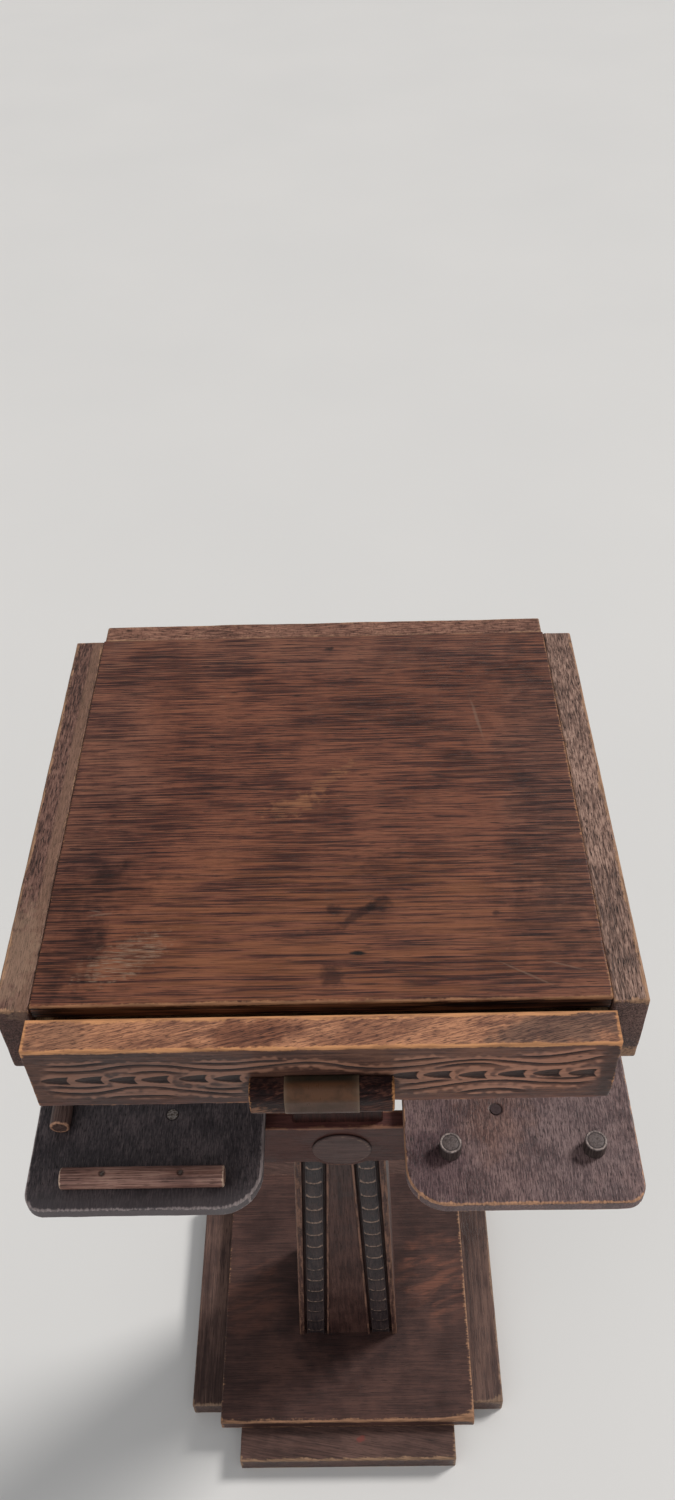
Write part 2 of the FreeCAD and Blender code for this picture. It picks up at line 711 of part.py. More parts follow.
gouges = doc.addObject("Part::Feature", "gouged_lines")
gouges.Shape = Part.makeCompound([gouged_line(points) for points in GOUGED_LINES])
place(gouges, y="-1")
drawer_front = doc.addObject("Part::Cut", "drawer_front")
drawer_front.Label = "drawer_front"
drawer_front.Base = front_board
drawer_front.Tool = gouges
place(drawer_front, y="%s - drawer_front_thickness" % DRAWER_FRONT_BACK, z=FRONT_LOW)
keep(drawer_front)

DRAWER_MIDDLE_Y = "(%s + drawer_length / 2)" % DRAWER_FRONT_BACK
for side, sign in (("left", -1), ("right", 1)):
    name = "drawer_side_" + side
    drawer_side = board(name, "drawer_side_thickness", "drawer_length",
                        "drawer_side_height",
                        x="%d * (%s - drawer_side_thickness) / 2" % (sign, DRAWER_OUTER),
                        y=DRAWER_MIDDLE_Y, z=DRAWER_LOW)
    # The groove that holds the drawer bottom, along the inner face.
    inner = "%d * drawer_side_thickness / 2" % -sign
    deep = "%d * (drawer_side_thickness / 2 - drawer_groove_depth)" % -sign
    groove = polygon(drawer_side, name + "_groove", "XZ_Plane", [
        (inner, "drawer_groove_height"),
        (deep, "drawer_groove_height"),
        (deep, "drawer_groove_height + drawer_bottom_thickness"),
        (inner, "drawer_groove_height + drawer_bottom_thickness"),
    ])
    pocket(drawer_side, groove, name + "_groove_cut", "drawer_length + 2", both_ways=True)
    keep(drawer_side)
DRAWER_INNER = "(%s - 2 * drawer_side_thickness)" % DRAWER_OUTER
keep(board("drawer_back", DRAWER_INNER, "drawer_side_thickness",
           "drawer_side_height - drawer_groove_height - drawer_bottom_thickness",
           y="%s + drawer_length - drawer_side_thickness / 2" % DRAWER_FRONT_BACK,
           z="%s + drawer_groove_height + drawer_bottom_thickness" % DRAWER_LOW))
keep(board("drawer_bottom", "%s + 2 * drawer_groove_depth" % DRAWER_INNER,
           "drawer_length", "drawer_bottom_thickness",
           y=DRAWER_MIDDLE_Y, z="%s + drawer_groove_height" % DRAWER_LOW))


def pull_body(name, width, extra):
    """The pull's section, grown all round by a thickness and drawn out sideways."""
    body = new_body(name)
    section = polygon(body, name + "_section", "YZ_Plane", [
        ("0", "-(pull_height / 2 + %s)" % extra),
        ("0", "pull_height / 2 + %s" % extra),
        ("-(pull_reach + %s)" % extra, "pull_height / 2 + %s" % extra),
        ("-(pull_reach + %s)" % extra, "-(pull_height / 2 + %s)" % extra),
    ])
    pad(body, section, name + "_pad", width, both_ways=True)
    fillet(body, name + "_round", "pull_corner + %s" % extra,
           lambda edge: upright(ALONG_X)(edge)
           and edge.CenterOfMass.y < -number("pull_reach") / 2)
    place(body, y="%s - drawer_front_thickness" % DRAWER_FRONT_BACK,
          z="%s + pull_bottom + pull_height / 2" % FRONT_LOW)
    return body


pull = keep(pull_body("pull_block", "pull_width", "0"))
band_outer = pull_body("pull_band_outer", "band_width", "band_thickness")
band = doc.addObject("Part::Cut", "pull_band")
band.Label = "pull_band"
band.Base = band_outer
band.Tool = pull
keep(band)

# ----------------------------------------------------------------------- output
doc.recompute()
for item in doc.Objects:
    for state in item.State:
        if state in ("Invalid", "Error"):
            raise RuntimeError("%s failed: %s" % (item.Name, state))
for part in nodes:
    if part.Shape.isNull() or not part.Shape.isValid():
        raise RuntimeError(part.Label + " has no valid shape")

os.makedirs("parts", exist_ok=True)
for part in nodes:
    part.Shape.exportStep("parts/%s.step" % part.Label)
print("%d nodes written" % len(nodes))
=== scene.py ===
"""Sewing table: the visible shapes, woods and metal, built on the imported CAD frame."""

import math

import bmesh
import bpy
import numpy as np
from mathutils import Matrix, Vector


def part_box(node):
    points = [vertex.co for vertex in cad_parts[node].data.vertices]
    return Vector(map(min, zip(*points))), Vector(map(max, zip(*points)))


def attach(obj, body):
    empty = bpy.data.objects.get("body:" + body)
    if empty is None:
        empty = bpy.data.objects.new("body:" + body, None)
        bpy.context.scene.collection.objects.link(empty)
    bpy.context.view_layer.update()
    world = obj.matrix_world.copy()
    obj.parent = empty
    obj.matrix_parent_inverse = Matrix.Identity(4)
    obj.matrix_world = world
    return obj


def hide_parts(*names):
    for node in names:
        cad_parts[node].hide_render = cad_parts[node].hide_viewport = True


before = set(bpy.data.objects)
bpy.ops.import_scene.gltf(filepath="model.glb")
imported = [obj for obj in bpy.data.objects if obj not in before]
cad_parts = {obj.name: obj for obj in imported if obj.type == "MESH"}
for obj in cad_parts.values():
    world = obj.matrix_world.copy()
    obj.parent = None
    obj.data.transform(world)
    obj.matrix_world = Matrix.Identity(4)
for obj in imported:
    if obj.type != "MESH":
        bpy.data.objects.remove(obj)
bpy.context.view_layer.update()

MM = 0.001
X, Y, Z = 0, 1, 2
COLUMN_MIDDLE = 1.5
COLUMN_FOOT, COLUMN_HEAD = 32.0, 625.0
BEAM_LOW, BEAM_HIGH = 359.0, 405.0


def box(node):
    """A CAD node's low and high corners in millimetres."""
    low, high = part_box(node)
    return np.array(low) / MM, np.array(high) / MM


# ---- points and noise ----
def xyz(x, y, z):
    """Points from their coordinates, which may be grids, lists or single numbers."""
    return np.stack(np.broadcast_arrays(x, y, z), -1)


def lattice(i, j, k, seed):
    """A repeatable number from -1 to 1 for each corner of a lattice."""
    h = i * 73856093 ^ j * 19349663 ^ k * 83492791 ^ (seed + 11) * 26544357
    h = (h ^ (h >> 13)) * 1274126177 & 0xFFFFFFFF
    return ((h ^ (h >> 16)) & 0xFFFF) / 32767.5 - 1.0


def noise(points, scale, seed=0):
    """Smooth noise from -1 to 1 with features about scale millimetres wide."""
    cell = np.asarray(points, float) / scale
    base = np.floor(cell).astype(np.int64)
    part = cell - base
    part = part * part * (3 - 2 * part)
    total = np.zeros(cell.shape[:-1])
    for corner in np.ndindex(2, 2, 2):
        weight = np.prod(np.where(corner, part, 1 - part), axis=-1)
        i, j, k = (base[..., axis] + corner[axis] for axis in range(3))
        total += weight * lattice(i, j, k, seed)
    return total


def inside(value, low, high):
    """How far a value is from the nearer of two ends."""
    return np.minimum(value - low, high - value)


def smooth(value, low, high):
    """0 below low, 1 above high, and an even curve between."""
    t = np.clip((value - low) / (high - low), 0, 1)
    return t * t * (3 - 2 * t)


# ---- materials ----
SCUFF_SIZE = 1 / 0.45
# Colour of dirt and of painted shade in hollows.
DIRT_AND_SHADE = (0.012, 0.009, 0.010)
WOOD_RELIEF, METAL_RELIEF = 0.5 * MM, 0.2 * MM


class Shader:
    """One node material, put together a node at a time, with its sizes in millimetres."""

    def __init__(self, name):
        self.material = bpy.data.materials.new(name)
        self.material.use_nodes = True
        self.tree = self.material.node_tree
        self.tree.nodes.clear()
        self.surface = self.tree.nodes.new("ShaderNodeBsdfPrincipled")
        output = self.tree.nodes.new("ShaderNodeOutputMaterial")
        self.tree.links.new(self.surface.outputs["BSDF"], output.inputs["Surface"])
        self.place = self.mapped(self.node("TexCoord")["Object"], scale=(1 / MM,) * 3)

    def put(self, socket, value):
        """Link another node's output to a socket, or set the socket's own value."""
        if isinstance(value, bpy.types.NodeSocket):
            self.tree.links.new(value, socket)
        else:
            socket.default_value = value

    def node(self, kind, inputs=None, **settings):
        """Add a node with its settings and inputs, and give back its outputs."""
        node = self.tree.nodes.new("ShaderNode" + kind)
        for name, value in settings.items():
            setattr(node, name, value)
        for name, value in (inputs or {}).items():
            self.put(node.inputs[name], value)
        return node.outputs

    def mapped(self, vector, scale=(1, 1, 1), turn=(0, 0, 0), kind="POINT", at=(0, 0, 0)):
        """A place that is moved, turned by degrees and scaled."""
        turn = [math.radians(angle) for angle in turn]
        inputs = {"Vector": vector, "Location": at, "Rotation": turn, "Scale": scale}
        return self.node("Mapping", inputs, vector_type=kind)[0]

    def times(self, first, second):
        return self.node("Math", {0: first, 1: second}, operation="MULTIPLY")[0]

    def plus(self, first, second):
        return self.node("Math", {0: first, 1: second}, operation="ADD")[0]

    def spread(self, value, low, high, to_low=0.0, to_high=1.0):
        """Carry the values from low to high over to another range, with soft ends."""
        inputs = {"Value": value, "From Min": low, "From Max": high,
                  "To Min": to_low, "To Max": to_high}
        return self.node("MapRange", inputs, interpolation_type="SMOOTHSTEP")["Result"]

    def fade(self, axis, low, high, to_low=0.0, to_high=1.0):
        """A soft change between two positions along an axis."""
        along = self.node("SeparateXYZ", {0: self.place})[axis]
        return self.spread(along, low, high, to_low, to_high)

    def grain(self, size, detail=2.0, rough=0.5, twist=0.0, place=None):
        """Noise with features of one size, or of its own size along each axis."""
        sizes = size if isinstance(size, (list, tuple)) else [size] * 3
        source = self.place if place is None else place
        vector = self.mapped(source, scale=[1 / value for value in sizes])
        inputs = {"Vector": vector, "Scale": 1.0, "Detail": detail, "Roughness": rough,
                  "Distortion": twist}
        return self.node("TexNoise", inputs)["Fac"]

    def mix(self, amount, first, second, blend="MIX"):
        """Blend two colours, each of them an output or (red, green, blue)."""
        first, second = ((*colour, 1.0) if isinstance(colour, tuple) else colour
                         for colour in (first, second))
        return self.node("Mix", {0: amount, 6: first, 7: second}, data_type="RGBA",
                         blend_type=blend)[2]

    def stain(self, mask, tone, amount=1.0, blend="MIX"):
        """Lay a tone over the colour so far."""
        self.colour = self.mix(self.times(mask, amount), self.colour, tone, blend)

    def tint(self, mask, tone, amount=1.0):
        """Multiply the colour so far by a tone."""
        self.stain(mask, tone, amount, "MULTIPLY")

    def drawn(self, name):
        """A number stored on the mesh's own points."""
        return self.node("Attribute", attribute_name=name)["Fac"]

    def ellipse(self, centre, reach, turn=(0, 0, 0), ragged=0.35, coarse=3.0):
        """1 inside an ellipse, fading to 0 over a ragged border."""
        away = self.mapped(self.place, reach, turn, "TEXTURE", centre)
        length = self.node("VectorMath", {0: away}, operation="LENGTH")["Value"]
        rough = self.times(self.plus(self.grain(coarse, detail=3.0), -0.5), ragged * 4)
        return self.spread(self.plus(length, rough), 1.25, 0.45)

    def patch(self, lay, tone, amount, *shape, through=None, **border):
        """Stain or tint an ellipse, where another mask lets it through if there is one."""
        mask = self.ellipse(*shape, **border)
        lay(mask if through is None else self.times(mask, through), tone, amount)

    def surfaced(self, inputs, height, strength, distance):
        """Fill in the surface with a relief of its own, and give back the material."""
        bump = {"Strength": strength, "Distance": distance, "Height": height}
        inputs["Normal"] = self.node("Bump", bump)["Normal"]
        for name, value in inputs.items():
            self.put(self.surface.inputs[name], value)
        return self.material


class Wood(Shader):
    """Old stained, open-pored wood with its grain along one axis.

    Its tones run from dark through mid to light, and worn is the bare wood at a rubbed
    edge. The figure has bands of a width and length, and cloudy patches of blotch size.
    """

    def __init__(self, name, along, dark, mid, light, worn=(0.36, 0.17, 0.08),
                 turn=(0, 0, 0), band=1.5, patches=0.3, pores=0.6, contrast=1.0,
                 blotch=40.0, length=1.0):
        super().__init__(name)
        self.along, self.worn = along, worn
        self.turned = self.mapped(self.place, turn=turn)
        self.broad = self.streaks(band * 2.4, band * 60 * length, twist=0.3)
        self.middle = self.streaks(band, band * 28 * length, detail=4.0, twist=0.15)
        self.fine = self.streaks(0.65, 24.0 * length)
        self.patchy = self.grain(blotch, detail=4.0, rough=0.6)
        figure = self.times(self.patchy, patches)
        for part, share in ((self.broad, 0.2), (self.middle, 0.4), (self.fine, 0.4)):
            figure = self.plus(figure, self.times(part, share * (1 - patches)))
        half = 0.10 / contrast
        ramp = self.node("ValToRGB", {"Fac": self.spread(figure, 0.5 - half, 0.5 + half)})
        self.colour = ramp["Color"]
        stops = self.colour.node.color_ramp.elements
        stops[0].color = (*dark, 1)
        stops[1].color = (*light, 1)
        stops.new(0.5).color = (*mid, 1)
        self.pore = self.spread(self.streaks(0.42, 9.0 * length ** 0.5, detail=2.0), 0.565, 0.66)
        self.stain(self.pore, tuple(0.35 * value for value in dark), pores)

    def streaks(self, width, length, detail=3.0, twist=0.0):
        """Noise drawn out along the grain."""
        sizes = [width] * 3
        sizes[self.along] = length
        return self.grain(sizes, detail, twist=twist, place=self.turned)

    def done(self, rough=0.47, shine=0.3, relief=0.35, wear_low=0.28, wear_high=0.7):
        """Add wear, dirt and painted shade in hollows, roughness and relief, and give back the
        material.
        """
        scuff = self.grain(SCUFF_SIZE, detail=4.0, rough=0.65)
        streaky = self.streaks(1.4, 16.0)
        jitter = self.times(self.plus(self.plus(scuff, streaky), -1.0), 1.1)
        wear = self.drawn("wear")
        rubbed = self.times(self.spread(self.plus(wear, jitter), wear_low, wear_high),
                            self.spread(wear, 0.03, 0.3))
        dull = tuple(0.62 * value for value in self.worn)
        self.stain(rubbed, self.mix(self.spread(streaky, 0.38, 0.62), dull, self.worn), 0.85)
        # Hollows darken: dirt, and painted shade in recesses, under lips and at joints.
        self.stain(self.spread(self.drawn("hollow"), 0.1, 0.9), DIRT_AND_SHADE, 0.8)
        polish = self.spread(self.patchy, 0.35, 0.65, rough - 0.07, rough + 0.09)
        polish = self.plus(polish, self.times(self.pore, 0.15))
        polish = self.plus(polish, self.times(rubbed, 0.08))
        height = self.plus(self.times(self.fine, 0.8), self.times(self.pore, -0.7))
        height = self.plus(height, self.times(scuff, 0.5))
        return self.surfaced({"Base Color": self.colour, "Roughness": polish,
                              "Specular IOR Level": shine}, height, relief, WOOD_RELIEF)


def plain_wood(name, along, dark, mid, light, worn, band=1.6, pores=0.45, contrast=1.0):
    """Stained wood with no marks of its own."""
    wood = Wood(name, along, dark, mid, light, worn, band=band, pores=pores,
                contrast=contrast)
    return wood.done(rough=0.48, relief=0.28)


def top_wood():
    """The table's top, with the stains, scuffs and scratches of long use."""
    wood = Wood("stained_top", X, (0.036, 0.0115, 0.0092), (0.098, 0.031, 0.020),
                (0.196, 0.068, 0.037), band=1.0, patches=0.24, pores=0.9, contrast=1.5)
    level = box("top_panel")[1][Z]

    def marks(lay, tone, ragged, coarse, places, through=None):
        """The same mark at each (x, y, half width, half depth, turn, amount)."""
        for x, y, across, deep, turn, amount in places:
            wood.patch(lay, tone, amount, (x, y, level - 3), (across, deep, 30),
                       (0, 0, turn), ragged, coarse, through=through)

    # Painted shade: the panel's faces below the top are darkened almost to black.
    wood.tint(wood.fade(Z, level - 0.7, level - 1.4), (0.07, 0.055, 0.055))
    lines = wood.spread(wood.streaks(0.4, 30.0, detail=1.0), 0.54, 0.66)
    wood.stain(lines, (0.26, 0.100, 0.052), 0.65)
    wood.patch(wood.stain, (0.24, 0.088, 0.036), 0.5, (0, -95, level - 5), (150, 60, 40),
               ragged=0.25, coarse=30, through=wood.spread(wood.broad, 0.4, 0.62))
    dark_places = [(-122, -60, 26, 75, 0, 0.65), (122, 20, 34, 110, 0, 0.55),
                   (-70, 30, 50, 34, 0, 0.25), (60, 75, 60, 40, 0, 0.25),
                   (-100, -60, 24, 17, 0, 0.95), (-114, -97, 16, 26, 0, 0.9),
                   (30, -49, 15, 8, 0, 0.85), (108, -86, 22, 28, 0, 0.75)]
    marks(wood.tint, (0.33, 0.27, 0.30), 0.5, 9, dark_places,
          wood.spread(wood.middle, 0.62, 0.42, 0.35, 1.0))
    # Painted sheen: a greyer, bluer haze towards the left, right and back of the top.
    painted_sheen_places = [(-128, 30, 45, 110, 0, 0.9), (130, 0, 45, 110, 0, 0.9),
                   (0, 130, 150, 40, 0, 0.9)]
    marks(wood.tint, (1.04, 1.20, 1.34), 0.3, 25, painted_sheen_places)
    blots = [(28, -72, 7, 4.5, 25, 0.8), (17, -78, 13, 3, 40, 0.8), (5, -112, 6, 6.5, 0, 0.8),
             (6, -74, 4, 4, 0, 0.8), (82, -78, 2.5, 1.6, 0, 0.8)]
    marks(wood.tint, (0.25, 0.22, 0.28), 0.4, 4, blots)
    marks(wood.stain, (0.27, 0.115, 0.055), 0.7, 4,
          [(4, 11, 20, 4, 44, 0.75), (-13, -7, 17, 6, 20, 0.75)],
          wood.spread(wood.fine, 0.40, 0.56))
    marks(wood.stain, (0.27, 0.175, 0.120), 0.5, 3, [(-89, -100, 22, 10, 30, 0.75)],
          wood.spread(wood.streaks(0.5, 9.0), 0.47, 0.60))
    scratches = [(-104, -75, 6, 0.7, 8, 0.4), (-106, -73, 3, 0.5, -12, 0.4),
                 (-56, 76, 2, 0.6, 0, 0.4), (84, 55, 1, 16, 8, 0.4),
                 (92, -112, 14, 0.6, -30, 0.4), (110, -108, 9, 0.5, -18, 0.4)]
    marks(wood.stain, (0.22, 0.135, 0.095), 0.25, 2, scratches)
    knot, hole = [(4, 115, 2.6, 2.2, 0, 0.85)], [(17, -99.5, 4.2, 1.3, -3, 1.0)]
    marks(wood.stain, (0.018, 0.009, 0.008), 0.3, 2, knot)
    marks(wood.stain, (0.004, 0.003, 0.003), 0.15, 2, hole)
    return wood.done(rough=0.46, relief=0.4)


def case_wood(name, along, dark, mid, light, shade_front_end=False, marks=()):
    """Coarse, speckled wood for the boards round the top."""
    wood = Wood(name, along, dark, mid, light, (0.42, 0.24, 0.14), band=0.9, patches=0.25,
                pores=0.95, contrast=0.9, length=0.3)
    speck = wood.grain((1.1, 2.4, 1.1), detail=4.0, rough=0.65)
    wood.tint(wood.spread(speck, 0.52, 0.66), (0.42, 0.36, 0.36), 0.8)
    # Painted shade: the board's front end face is darkened.
    if shade_front_end:
        front = box("side_board_left")[0][Y]
        wood.tint(wood.fade(Y, front + 1.1, front + 0.3), (0.55, 0.50, 0.54))
    for tone, centre, reach, ragged, coarse in marks:
        wood.patch(wood.stain, tone, 0.65, centre, reach, ragged=ragged, coarse=coarse)
    return wood.done(rough=0.56, relief=0.75)


def drawer_wood():
    """The drawer front, with a lighter, slanting figure on its upper edge."""
    wood = Wood("drawer_front_oak", X, (0.046, 0.019, 0.014), (0.086, 0.037, 0.026),
                (0.150, 0.068, 0.043), (0.66, 0.31, 0.135), pores=0.5, patches=0.35)
    low, high = box("drawer_front")
    lid = wood.fade(Z, high[Z] - 1.4, high[Z] - 0.6)
    slant = wood.mapped(wood.place, turn=(0, 0, -14))
    streaky = wood.grain((13, 0.7, 4), detail=5.0, rough=0.7, place=slant)
    patchy = wood.grain((30, 11, 20), detail=4.0, rough=0.65, place=slant)
    figure = wood.plus(wood.times(streaky, 0.65), wood.times(patchy, 0.35))
    tone = wood.mix(wood.spread(figure, 0.40, 0.60), (0.190, 0.080, 0.050),
                    (0.53, 0.245, 0.130))
    pore = wood.spread(wood.grain((4, 0.45, 2), place=slant), 0.53, 0.62)
    wood.stain(lid, wood.mix(wood.times(pore, 0.8), tone, (0.060, 0.026, 0.019)), 0.95)
    for x, across, tone, amount in ((-30, 28, (0.34, 0.25, 0.26), 0.75),
                                    (18, 20, (0.5, 0.40, 0.40), 0.4),
                                    (104, 50, (0.43, 0.49, 0.60), 0.95),
                                    (-116, 22, (0.55, 0.60, 0.68), 0.6)):
        wood.patch(wood.tint, tone, amount, (x, low[Y] + 8, high[Z]), (across, 12, 6),
                   (0, 0, 20), 0.6, 9, through=lid)
    # Lighter crests between the grooves: rubbed wear and a painted highlight.
    ridge = wood.times(wood.spread(wood.drawn("ridge"), 0.05, 0.8),
                       wood.spread(wood.middle, 0.30, 0.55, 0.6, 1.0))
    wood.stain(ridge, (0.340, 0.165, 0.104), 0.88)
    face = wood.fade(Z, high[Z] - 1.2, high[Z] - 2.4)
    wood.tint(wood.times(face, wood.fade(X, 10, -70)), (0.80, 0.80, 0.84))
    wood.tint(wood.times(face, wood.fade(X, 20, 80)), (1.22, 1.16, 1.14))
    wood.tint(wood.fade(Z, low[Z] + 5.5, low[Z] + 0.5), (1.28, 1.20, 1.26))
    wood.patch(wood.tint, (0.45, 0.45, 0.50), 0.9, (high[X] - 1.5, low[Y], high[Z] - 23),
               (6.5, 6, 40), ragged=0.2, coarse=6)
    return wood.done(rough=0.5, relief=0.4, wear_low=0.15, wear_high=0.6)


def tray_wood(name, dark, mid, light, worn):
    """Thin board with a short, speckled figure, ready for its own marks."""
    wood = Wood(name, Y, dark, mid, light, worn, band=0.6, pores=0.9, contrast=1.1,
                blotch=26.0, length=0.3)
    speck = wood.grain((1.2, 2.2, 1.2), detail=4.0, rough=0.65)
    wood.tint(wood.spread(speck, 0.50, 0.66), (0.46, 0.42, 0.46), 0.75)
    return wood


def tray_left_wood():
    wood = tray_wood("tray_left_wood", (0.034, 0.028, 0.031), (0.066, 0.053, 0.057),
                     (0.118, 0.092, 0.094), (0.40, 0.33, 0.32))
    front = box("shelf_left")[0][Y]
    # Painted sheen: the tray turns lighter and greyer towards its front edge.
    wood.stain(wood.fade(Y, front + 17.5, front + 1.5), (0.125, 0.107, 0.112), 0.6)
    return wood.done(rough=0.5, relief=0.3, wear_low=0.2, wear_high=0.6)


def tray_right_wood():
    wood = tray_wood("tray_right_wood", (0.078, 0.045, 0.045), (0.160, 0.098, 0.095),
                     (0.255, 0.166, 0.154), (0.56, 0.30, 0.17))
    level = box("shelf_right")[1][Z]
    for centre, reach, tone in (((62, -70, level), (22, 40, 20), (0.55, 0.50, 0.58)),
                                ((100, -40, level), (24, 30, 20), (1.10, 0.95, 0.80)),
                                ((150, -60, level), (40, 50, 20), (0.94, 1.0, 1.03))):
        wood.patch(wood.tint, tone, 0.75, centre, reach, ragged=0.5, coarse=11)
    return wood.done(relief=0.4)


def pull_wood():
    """The pull's dark wood, scuffed at its left end and pale underneath."""
    low, high = box("pull_block")
    wood = Wood("pull_wood", X, (0.012, 0.005, 0.005), (0.031, 0.011, 0.009),
                (0.100, 0.040, 0.027), (0.62, 0.29, 0.12), turn=(0, 16, 0), band=1.0,
                patches=0.35, pores=0.7, blotch=9.0, length=0.4)
    wood.patch(wood.stain, (0.27, 0.13, 0.075), 0.8, low + (4, 2, 5), (8, 12, 5),
               (0, 20, 0), 0.6, through=wood.spread(wood.fine, 0.42, 0.58))
    wood.stain(wood.fade(Z, low[Z] + 3.6, low[Z] + 3.0), (0.24, 0.165, 0.140), 0.8)
    return wood.done(rough=0.5, shine=0.1)


def column_wood():
    """The column's wood, darker just above the cross beam with painted shade and grime."""
    wood = Wood("column_wood", Z, (0.031, 0.0148, 0.0132), (0.062, 0.0293, 0.0240),
                (0.095, 0.047, 0.038), (0.23, 0.120, 0.080), band=1.8, patches=0.35,
                pores=0.45)
    # Painted shade and grime on the column just above the beam, under the case.
    over_beam = wood.times(wood.fade(Z, BEAM_HIGH - 3, BEAM_HIGH + 3),
                           wood.fade(Z, BEAM_HIGH + 75, BEAM_HIGH + 25, 0.35, 1.0))
    wood.tint(over_beam, (0.42, 0.22, 0.20))
    return wood.done(rough=0.50, shine=0.2, relief=0.25)


def beam_wood():
    """The cross beams' wood, with painted light on the upper face."""
    wood = Wood("beam_wood", X, (0.037, 0.0112, 0.0082), (0.057, 0.0175, 0.0132),
                (0.078, 0.0258, 0.0190), (0.26, 0.120, 0.070), band=1.6, pores=0.45)
    # Painted light: the upper face, in shade under the case, is lightened.
    wood.tint(wood.fade(Z, BEAM_HIGH - 1.4, BEAM_HIGH - 0.4), (1.75, 1.9, 2.1))
    return wood.done(rough=0.48, relief=0.28)


def pin_wood():
    """The upright pins' wood, with a swirl on their tops."""
    wood = Wood("pin_wood", Z, (0.022, 0.015, 0.015), (0.052, 0.037, 0.034),
                (0.110, 0.082, 0.074), (0.42, 0.34, 0.31), band=1.2, pores=0.5)
    level = box("spool_pin_1")[1][Z]
    swirl = wood.spread(wood.grain(2.2, twist=1.5), 0.35, 0.6, 0.35, 1.0)
    top = wood.times(wood.fade(Z, level - 0.8, level - 0.3), swirl)
    wood.stain(top, (0.17, 0.135, 0.130), 0.7)
    return wood.done(rough=0.5)


def base_plate_wood():
    """The base plate's wood, with flame figure on both sides of the column's foot."""
    wood = Wood("base_plate_wood", X, (0.030, 0.014, 0.012), (0.062, 0.029, 0.024),
                (0.106, 0.049, 0.037), (0.38, 0.20, 0.11), band=1.4, patches=0.4,
                pores=0.5, contrast=0.7)
    flame = wood.grain((45, 9, 20), detail=5.0, rough=0.6, twist=0.8,
                       place=wood.mapped(wood.place, turn=(0, 0, -12)))
    flame = wood.times(wood.spread(flame, 0.40, 0.60),
                       wood.spread(wood.fine, 0.36, 0.56, 0.45, 1.0))
    for x, y, reach, tone in ((84, 12, (42, 36, 20), (0.225, 0.086, 0.054)),
                              (-84, -4, (34, 34, 20), (0.135, 0.054, 0.037))):
        wood.patch(wood.stain, tone, 0.75, (x, y, COLUMN_FOOT), reach, coarse=14,
                   through=flame)
    # Painted shade around the front of the column's foot.
    wood.patch(wood.tint, (0.42, 0.38, 0.42), 0.75, (COLUMN_MIDDLE, -30, COLUMN_FOOT),
               (62, 40, 30), ragged=0.3, coarse=20)
    return wood.done(rough=0.5, relief=0.3)


def step_wood():
    """The base steps' wood, with a reddish knot at the front."""
    level = box("base_step_front")[1][Z]
    wood = Wood("base_step_wood", X, (0.039, 0.021, 0.018), (0.082, 0.043, 0.035),
                (0.134, 0.072, 0.058), (0.33, 0.20, 0.12), turn=(0, 0, 9), band=1.9,
                patches=0.35, contrast=0.75)
    wood.patch(wood.stain, (0.20, 0.045, 0.035), 0.75, (11, -117, level), (5, 2.6, 6),
               (0, 0, 25), 0.4)
    return wood.done(rough=0.5)


def brass():
    """Thin brass sheet with an old brown patina, darker on its flat top, and a painted highlight
    along its upper bend.
    """
    low, high = box("pull_band")
    metal = Shader("old_brass_sheet")
    brushed = metal.grain((0.5, 7, 7), detail=3.0)
    patches = metal.grain(6, detail=4.0, rough=0.6)
    metal.colour = (0.022, 0.017, 0.011)
    # Painted highlight: a tan band where the sheet bends over the front, below the flat top.
    metal.stain(metal.fade(Y, low[Y] + 8.8, low[Y] + 5.8), (0.116, 0.052, 0.026))
    metal.stain(metal.fade(Z, high[Z] - 2.3, high[Z] - 7.8), (0.070, 0.029, 0.014))
    metal.stain(metal.fade(Z, high[Z] - 8.8, low[Z] + 2.8), (0.056, 0.021, 0.012))
    metal.stain(metal.spread(patches, 0.42, 0.66), (0.046, 0.026, 0.014), 0.5)
    metal.stain(metal.fade(Z, low[Z] + 3.7, low[Z] + 3.1), (0.23, 0.165, 0.135))
    metal.stain(metal.drawn("wear"), (0.26, 0.18, 0.12), 0.55)
    shine = metal.plus(metal.times(brushed, 0.25), metal.times(patches, 0.5))
    return metal.surfaced({"Base Color": metal.colour, "Metallic": 0.1, "Roughness": shine,
                           "Specular IOR Level": 0.2}, metal.plus(brushed, patches),
                          0.15, METAL_RELIEF)


def steel(name, rustless_tone, rusty, stained=0.0):
    """Dull nail and screw heads with brown rust, stained dark on the table's right; the screws'
    pale bare tone is partly a painted highlight.
    """
    metal = Shader(name)
    rust = metal.grain(1.3, detail=3.0, rough=0.6)
    metal.colour = rustless_tone
    metal.stain(metal.spread(rust, 0.4, 0.62), rusty)
    metal.stain(metal.fade(X, -1, 1), (0.050, 0.028, 0.030), stained)
    return metal.surfaced({"Base Color": metal.colour, "Metallic": 0.5,
                           "Roughness": metal.spread(rust, 0.35, 0.65, 0.4, 0.75)},
                          rust, 0.3, METAL_RELIEF)


# ---- mesh helpers ----
def cuts(low, high, step, edge, extra=()):
    """Positions from low to high, close together near both ends."""
    near = [edge * share for share in (0, 0.12, 0.3, 0.55, 0.8, 1.0, 1.35, 2.0, 3.2)]
    near = [value for value in near if value < (high - low) * 0.42]
    inner = np.arange(low + near[-1] + step * 0.6, high - near[-1] - step * 0.4, step)
    lines = [low + value for value in near] + list(inner) + [high - value for value in near]
    lines += [value for value in extra if low < value < high]
    lines = np.array(sorted(lines))
    lines = lines[np.concatenate([[True], np.diff(lines) > 0.02])]
    lines[-1] = high
    return lines


def grid_quads(index):
    """The quads between neighbours in a grid of point numbers."""
    corners = [index[:-1, :-1], index[1:, :-1], index[1:, 1:], index[:-1, 1:]]
    return np.stack(corners, -1).reshape(-1, 4)


